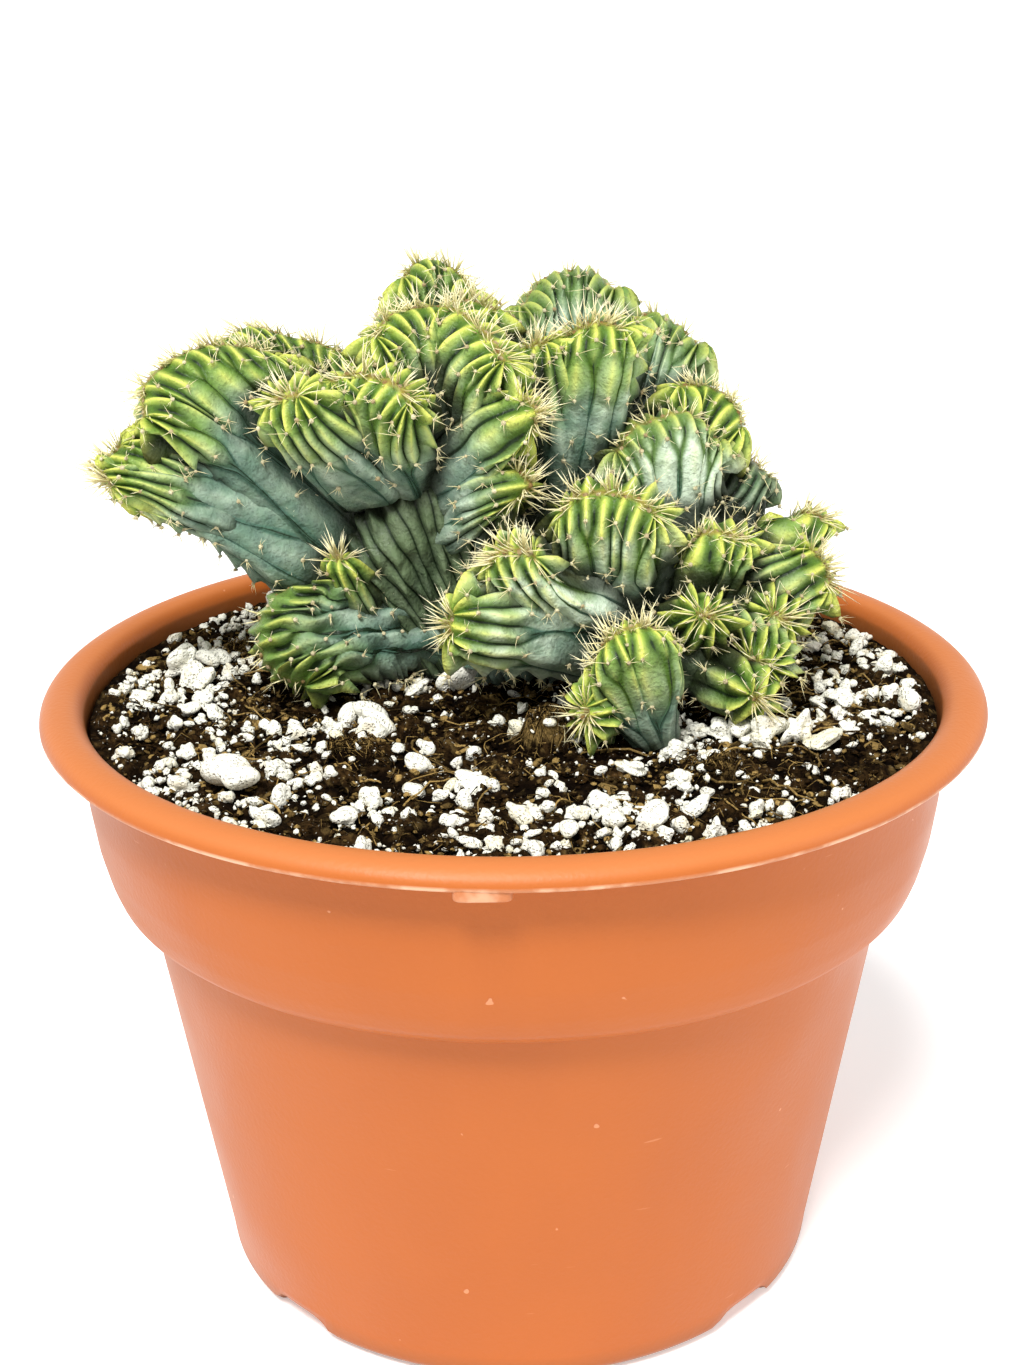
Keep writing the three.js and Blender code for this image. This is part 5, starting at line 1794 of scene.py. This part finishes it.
@dataclass
class SpineTuft:
    """Needles and the felt cushions that they grow from, gathered for one region."""

    TUFT_STEP = 2.9  # distance between tufts along a growing line
    STRONG, WEAK, ON_RIB = 17, 8, 4  # needles in a strong tuft, in a weak one and on a rib's areole
    SHORT_LINE = 14  # a growing line shorter than this has strong tufts only
    ASIDE = (0.31, 0.53, 0.79)  # a direction that no needle points in
    NEEDLE = ((0, 1, 4), (0, 4, 3), (1, 2, 5), (1, 5, 4), (2, 0, 3),
              (2, 3, 5), (3, 4, 6), (4, 5, 6), (5, 3, 6), (0, 2, 1))  # a needle's faces

    bases: list[Array] = field(default_factory=list)
    ways: list[Array] = field(default_factory=list)
    lengths: list[Array] = field(default_factory=list)
    radii: list[Array] = field(default_factory=list)
    cushions: list[tuple[Array, Array, Array, Array]] = field(default_factory=list)

    def crest(self, form: HeadForm, rng: Random) -> None:
        """Dense tufts along the growing line, every third one strong: fans of needles that lean out from
        it on every side.

        Args:
            form: the head that bears them.
            rng: its random numbers.
        """
        width = np.linalg.norm(np.diff(form.line_at(np.linspace(0, 1, 25)), axis=0), axis=1).sum()
        tufts = max(2, round(width / self.TUFT_STEP))
        u = (np.arange(tufts) + 0.5) / tufts
        strong = ((np.arange(tufts) + form.seed) % 3 == 0) | (width < self.SHORT_LINE)
        centre = form.line_at(u)
        along, up, out = form.directions(u, np.full(tufts, 0.999))
        each = np.where(strong, self.STRONG, self.WEAK)
        each = np.maximum(2, np.round(each * form.head.spiny).astype(int))
        n = int(each.sum())
        pick = np.repeat(np.arange(tufts), each)
        lean = rng.uniform(0.08, 1.25, n)
        spin = rng.uniform(0, 2 * math.pi, n)
        ends = ((u - 0.5) * 1.2)[pick]
        way = up[pick] * np.cos(lean)[:, None] + out[pick] * (np.sin(lean) * np.cos(spin))[:, None]
        way += along[pick] * (np.sin(lean) * np.sin(spin) + ends)[:, None]
        base = centre[pick] + out[pick] * (np.cos(spin) * 1.1)[:, None]
        base = base + along[pick] * (np.sin(spin) * 0.9)[:, None] - up[pick] * 0.7
        length = rng.uniform(3.4, 6.4, n) + np.where(strong[pick], rng.uniform(0.6, 3.6, n), 0.0)
        radius = rng.uniform(0.17, 0.23, n)
        self.add(base, unit(way), length * mix(0.6, 1.0, form.head.spiny), radius)
        side = np.sign(rng.uniform(-1, 1, tufts)) * 0.5
        size = rng.uniform(0.6, 0.9, tufts)
        tone = rng.uniform(0.0, 0.4, tufts)
        self.cushions.append((centre + out * side[:, None] - up * 0.25, up, size, tone))

    def ribs(self, form: HeadForm, rng: Random) -> None:
        """A felt cushion with a few short needles on each tooth of each rib, down to the rib's fork.

        Args:
            form: the head that bears them.
            rng: its random numbers.
        """
        place, far, side = [], [], []
        for row, way in enumerate((1.0, -1.0)):
            for rib in range(form.ribs + 1):
                limit = min(form.reach * 0.8, form.fork[row, rib] + 1.0)
                count = int(max(0, (limit - form.first[row, rib]) // form.step[row, rib] + 1))
                spots = form.first[row, rib] + np.arange(count) * form.step[row, rib]
                place.append(np.full(count, 2.0 * rib))
                far.append(spots)
                side.append(np.full(count, way))
        place, far, side = np.concatenate(place), np.concatenate(far), np.concatenate(side)
        point, normal, _ = form.skin(place, far, side)
        clear = ~buried(point)
        point, normal, far = point[clear], normal[clear], far[clear]
        n = len(point)
        size = rng.uniform(0.42, 0.66, n)
        self.cushions.append((point - normal * 0.05, normal, size, rng.uniform(0.45, 1.0, n)))
        pick = np.repeat(np.arange(n), self.ON_RIB)
        pick = pick[rng.uniform(0, 1, len(pick)) < mix(0.5, 0.95, form.head.spiny)]
        scatter = unit(rng.normal(size=(len(pick), 3)))
        way = unit(normal[pick] * 0.75 + scatter * 0.9)
        way = unit(way + normal[pick] * np.maximum(0.0, 0.25 - (way * normal[pick]).sum(-1, keepdims=True)))
        length = rng.uniform(1.2, 4.0, len(pick)) * np.where(rng.uniform(0, 1, len(pick)) > 0.9, 1.5, 1.0)
        self.add(point[pick] - normal[pick] * 0.2, way, length, rng.uniform(0.07, 0.115, len(pick)))

    def add(self, base: Array, way: Array, length: Array, radius: Array) -> None:
        """Keeps needles for later.

        Args:
            base: where they stand.
            way: where they point.
            length: how long they are.
            radius: and how thick at the foot.
        """
        self.bases.append(base)
        self.ways.append(way)
        self.lengths.append(length)
        self.radii.append(radius)

    def needles(self) -> Patch:
        """All needles: three-sided, tapering in two steps to a point, bent a little at the middle.

        Returns:
            The surface, with its value reach from 0 at the foot to 1 at the tip.
        """
        base, way = np.concatenate(self.bases), np.concatenate(self.ways)
        length, radius = np.concatenate(self.lengths), np.concatenate(self.radii)
        n = len(base)
        side = unit(np.cross(way, np.array(self.ASIDE)))
        up = np.cross(way, side)
        angle = np.arange(3) * (2 * math.pi / 3)
        ring = side[:, None] * np.cos(angle)[:, None] + up[:, None] * np.sin(angle)[:, None]
        bow = (side * 0.04 * length[:, None])[:, None]
        foot = base[:, None] + ring * radius[:, None, None]
        middle = base[:, None] + way[:, None] * (length * 0.5)[:, None, None]
        middle = middle + bow + ring * (radius * 0.72)[:, None, None]
        tip = (base + way * length[:, None])[:, None]
        points = np.concatenate([foot, middle, tip], axis=1).reshape(-1, 3)
        faces = (np.array(self.NEEDLE)[None] + (np.arange(n) * 7)[:, None, None]).reshape(-1, 3)
        return Patch(points, [faces], {"reach": np.tile([0, 0, 0, 0.5, 0.5, 0.5, 1.0], n)})

    def felt(self) -> Patch:
        """All cushions: flattened balls pressed onto the skin.

        Returns:
            The surface, with the value tone of each cushion.
        """
        form = ball(0)
        at, way, size, tone = (np.concatenate(part) for part in zip(*self.cushions))
        side = unit(np.cross(way, np.array(self.ASIDE)))
        up = np.cross(way, side)
        p = form.points
        points = side[:, None] * p[:, :1] + up[:, None] * p[:, 1:2] + way[:, None] * p[:, 2:] * 0.75
        points = points * size[:, None, None] + at[:, None]
        faces = (form.faces[0][None] + (np.arange(len(at)) * len(p))[:, None, None]).reshape(-1, 3)
        return Patch(points.reshape(-1, 3), [faces], {"tone": np.repeat(tone, len(p))})


@dataclass
class Cactus:
    """The whole plant: heads in seven regions, the trunk and woody middles, needles and felt."""

    heads: tuple[Head, ...] = HEADS
    stem_low: float = 104.0
    stem_top: float = 146.0
    stem_around: int = 40

    def woody(self) -> Patch:
        """The trunk's middles and stems: lumpy ovals and upright oval posts of bark.

        Returns:
            Their surface as one patch.
        """
        form = ball(4)
        parts = []
        for seed, (at, half) in enumerate(MIDDLES):
            points = form.points * np.array(half) + np.array(at)
            lumps = 0.7 * ripple(points * np.array([1, 1, 0.4]), 4.0, 50 + seed)
            points = points + form.points * lumps[:, None]
            parts.append(self.barked(Patch(points, form.faces)))
        for (x, y), (a, b) in STEMS:
            profile = np.array([[0, self.stem_low], [1, self.stem_low], [1, 120], [1, 130], [1, 138],
                                [0.9, self.stem_top], [0, self.stem_top]])
            grid, index = turned(profile, self.stem_around)
            index[0], index[-1] = index[0, 0], index[-1, 0]
            points = grid.reshape(-1, 3) * np.array([a, b, 1]) + np.array([x, y, 0])
            faces = grid_faces(index, True)
            low, between, high = np.split(faces, [self.stem_around, -self.stem_around])
            parts.append(self.barked(compacted(Patch(points, [low[:, [0, 2, 3]], between, high[:, :3]]))))
        return Patch.joined(parts)

    @staticmethod
    def barked(patch: Patch) -> Patch:
        """Gives a patch the values of bare bark.

        Args:
            patch: a closed surface round its own middle.

        Returns:
            The same patch.
        """
        levels = {"youth": 0.0, "ridge": 0.5, "keel": 0.0, "crown": 0.0, "crease": 0.0,
                  "shade": 0.2, "wax": 0.05, "dry": 0.1, "bark": 1.0}
        patch.values = {key: np.full(len(patch.points), level) for key, level in levels.items()}
        out = unit(patch.points - patch.points.mean(axis=0))
        patch.values |= {f"out_{axis}": out[:, k] for k, axis in enumerate("xyz")}
        return patch

    @staticmethod
    def shaded(patch: Patch, crowding: Crowding) -> Patch:
        """Turns a patch's stored outward directions into its painted shade, high where others crowd in.

        Args:
            patch: the surface.
            crowding: the count of all surfaces.

        Returns:
            The same patch.
        """
        out = np.stack([patch.values.pop(f"out_{axis}") for axis in "xyz"], axis=1)
        patch.values["hollow"] = smooth(crowding.at(patch.points, out), 0.28, 0.66)
        return patch

    def build(self, skin: Material, straw: Material, felt: Material) -> None:
        """Puts the plant into the scene in place of its plain node.

        Args:
            skin: finish of the heads, the trunk and the woody middles.
            straw: finish of the needles.
            felt: finish of the cushions.
        """
        forms = [HeadForm(head, seed) for seed, head in enumerate(self.heads)]
        surfaces = {form: form.mesh() for form in [*forms, HeadForm(TRUNK, TRUNK_SEED)]}
        woody = self.woody()
        crowding = Crowding([*surfaces.values(), woody])
        for region in Region:
            grown = [form for form in forms if form.head.region is region]
            patches = [patch for form, patch in surfaces.items() if form.head.region is region]
            skins = self.shaded(Patch.joined(patches), crowding)
            put_mesh(f"heads_{region.value}", skins, skin)
            tuft = SpineTuft()
            for form in grown:
                rng = np.random.default_rng(500 + form.seed)
                tuft.crest(form, rng)
                tuft.ribs(form, rng)
            put_mesh(f"spines_{region.value}", tuft.needles(), straw)
            put_mesh(f"areoles_{region.value}", tuft.felt(), felt)
        put_mesh("woody_middle", self.shaded(woody, crowding), skin)
        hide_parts("cactus")


# ---- studio


@dataclass(frozen=True)
class Lamp:
    """A round soft light: its name, its power and width, and where it hangs, in metres."""

    name: str
    power: float
    width: float
    place: Triple


@dataclass
class Studio:
    """The pale floor, soft lights and the camera, in metres and radians."""

    place: Triple = (0.0001, -0.4646, 0.3108)
    pitch: float = 0.358
    yaw: float = -0.0007
    roll: float = -0.0126
    lens: float = 58.02
    sensor: float = 36.0
    floor_half: float = 12.0
    sky_low: float = 1.05
    sky_high: float = 0.42
    sky_from: float = 0.12
    sky_to: float = 0.45
    sun_power: float = 2.9
    sun_width: float = math.radians(14)
    sun_place: Triple = (-0.14, -0.6, 1.0)
    aim: Triple = (0.0, 0.0, 0.12)
    lamps: tuple[Lamp, ...] = (Lamp("panel", 5.0, 0.5, (-0.25, -0.5, 1.0)),
                               Lamp("fill", 2.2, 0.6, (0.9, -0.3, 0.5)))

    @staticmethod
    def stand(data: bpy.types.ID, axes: tuple[Array, Array, Array],
              place: Triple) -> bpy.types.Object:
        """Puts a camera or a light into the scene.

        Args:
            data: the camera or light.
            axes: the directions of its own right, up and back.
            place: where it stands.

        Returns:
            Its object.
        """
        thing = bpy.data.objects.new(data.name, data)
        bpy.context.scene.collection.objects.link(thing)
        matrix = np.eye(4)
        matrix[:3] = np.stack([*axes, np.array(place)], axis=1)
        thing.matrix_world = Matrix(matrix.tolist())
        return thing

    def camera(self) -> None:
        """A camera at the photograph's viewing angle: it looks ahead by yaw and pitch, and is rolled."""
        cp, sp = math.cos(self.pitch), math.sin(self.pitch)
        ahead = np.array([math.sin(self.yaw) * cp, math.cos(self.yaw) * cp, -sp])
        right = unit(np.cross(ahead, np.array([0.0, 0.0, 1.0])))
        up = np.cross(right, ahead)
        tipped = right * math.cos(self.roll) + up * math.sin(self.roll)
        top = -right * math.sin(self.roll) + up * math.cos(self.roll)
        data = bpy.data.cameras.new("camera")
        data.lens, data.sensor_width = self.lens, self.sensor
        data.clip_start, data.clip_end = 0.02, 60.0
        bpy.context.scene.camera = self.stand(data, (tipped, top, -ahead), self.place)

    def floor(self) -> None:
        """A wide pale floor."""
        h = self.floor_half
        mesh = bpy.data.meshes.new("floor")
        mesh.from_pydata([(-h, -h, 0), (h, -h, 0), (h, h, 0), (-h, h, 0)], [], [(0, 1, 2, 3)])
        mesh.materials.append(PaleGround().build())
        floor = bpy.data.objects.new("floor", mesh)
        bpy.context.scene.collection.objects.link(floor)

    def lights(self) -> None:
        """White surroundings, brightest at the horizon, a soft sun, a panel and a weak fill."""
        world = bpy.data.worlds.new("surroundings")
        world.use_nodes = True
        tree = world.node_tree
        split = tree.nodes.new("ShaderNodeSeparateXYZ")
        falling = tree.nodes.new("ShaderNodeMapRange")
        falling.interpolation_type = "SMOOTHSTEP"
        levels = (self.sky_from, self.sky_to, self.sky_low, self.sky_high)
        for socket, number in zip(falling.inputs[1:5], levels):
            socket.default_value = number
        tree.links.new(tree.nodes.new("ShaderNodeTexCoord").outputs["Generated"], split.inputs[0])
        tree.links.new(split.outputs["Z"], falling.inputs["Value"])
        tree.links.new(falling.outputs[0], tree.nodes["Background"].inputs["Strength"])
        tree.nodes["Background"].inputs["Color"].default_value = (1, 1, 1, 1)
        bpy.context.scene.world = world
        sun = bpy.data.lights.new("soft_sun", "SUN")
        sun.energy, sun.angle = self.sun_power, self.sun_width
        self.hang(sun, self.sun_place)
        for lamp in self.lamps:
            light = bpy.data.lights.new(lamp.name, "AREA")
            light.energy, light.shape, light.size = lamp.power, "DISK", lamp.width
            self.hang(light, lamp.place)

    def hang(self, data: bpy.types.Light, place: Triple) -> None:
        """Hangs a light at a place, aimed at the plant.

        Args:
            data: the light.
            place: where it hangs.
        """
        back = unit(np.array(place) - np.array(self.aim))
        right = unit(np.cross(np.array([0.0, 1.0, 0.0]), back))
        self.stand(data, (right, np.cross(back, right), back), place)

    def build(self) -> None:
        """Sets the stage."""
        self.camera()
        self.floor()
        self.lights()
        bpy.context.scene.view_settings.view_transform = "Standard"


def main() -> None:
    """Builds the pot, the soil, the cactus and the studio."""
    logging.basicConfig(level=logging.INFO, format="%(name)s %(message)s")
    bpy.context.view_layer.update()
    speckle = speckle_group()
    Studio().build()
    Pot().build(PotPlastic().build(speckle))
    SoilBed().build(Peat().build(speckle), PerliteWhite().build(speckle))
    Cactus().build(CactusSkin().build(speckle), SpineStraw().build(speckle), AreoleFelt().build(speckle))


if __name__ == "__main__":
    main()
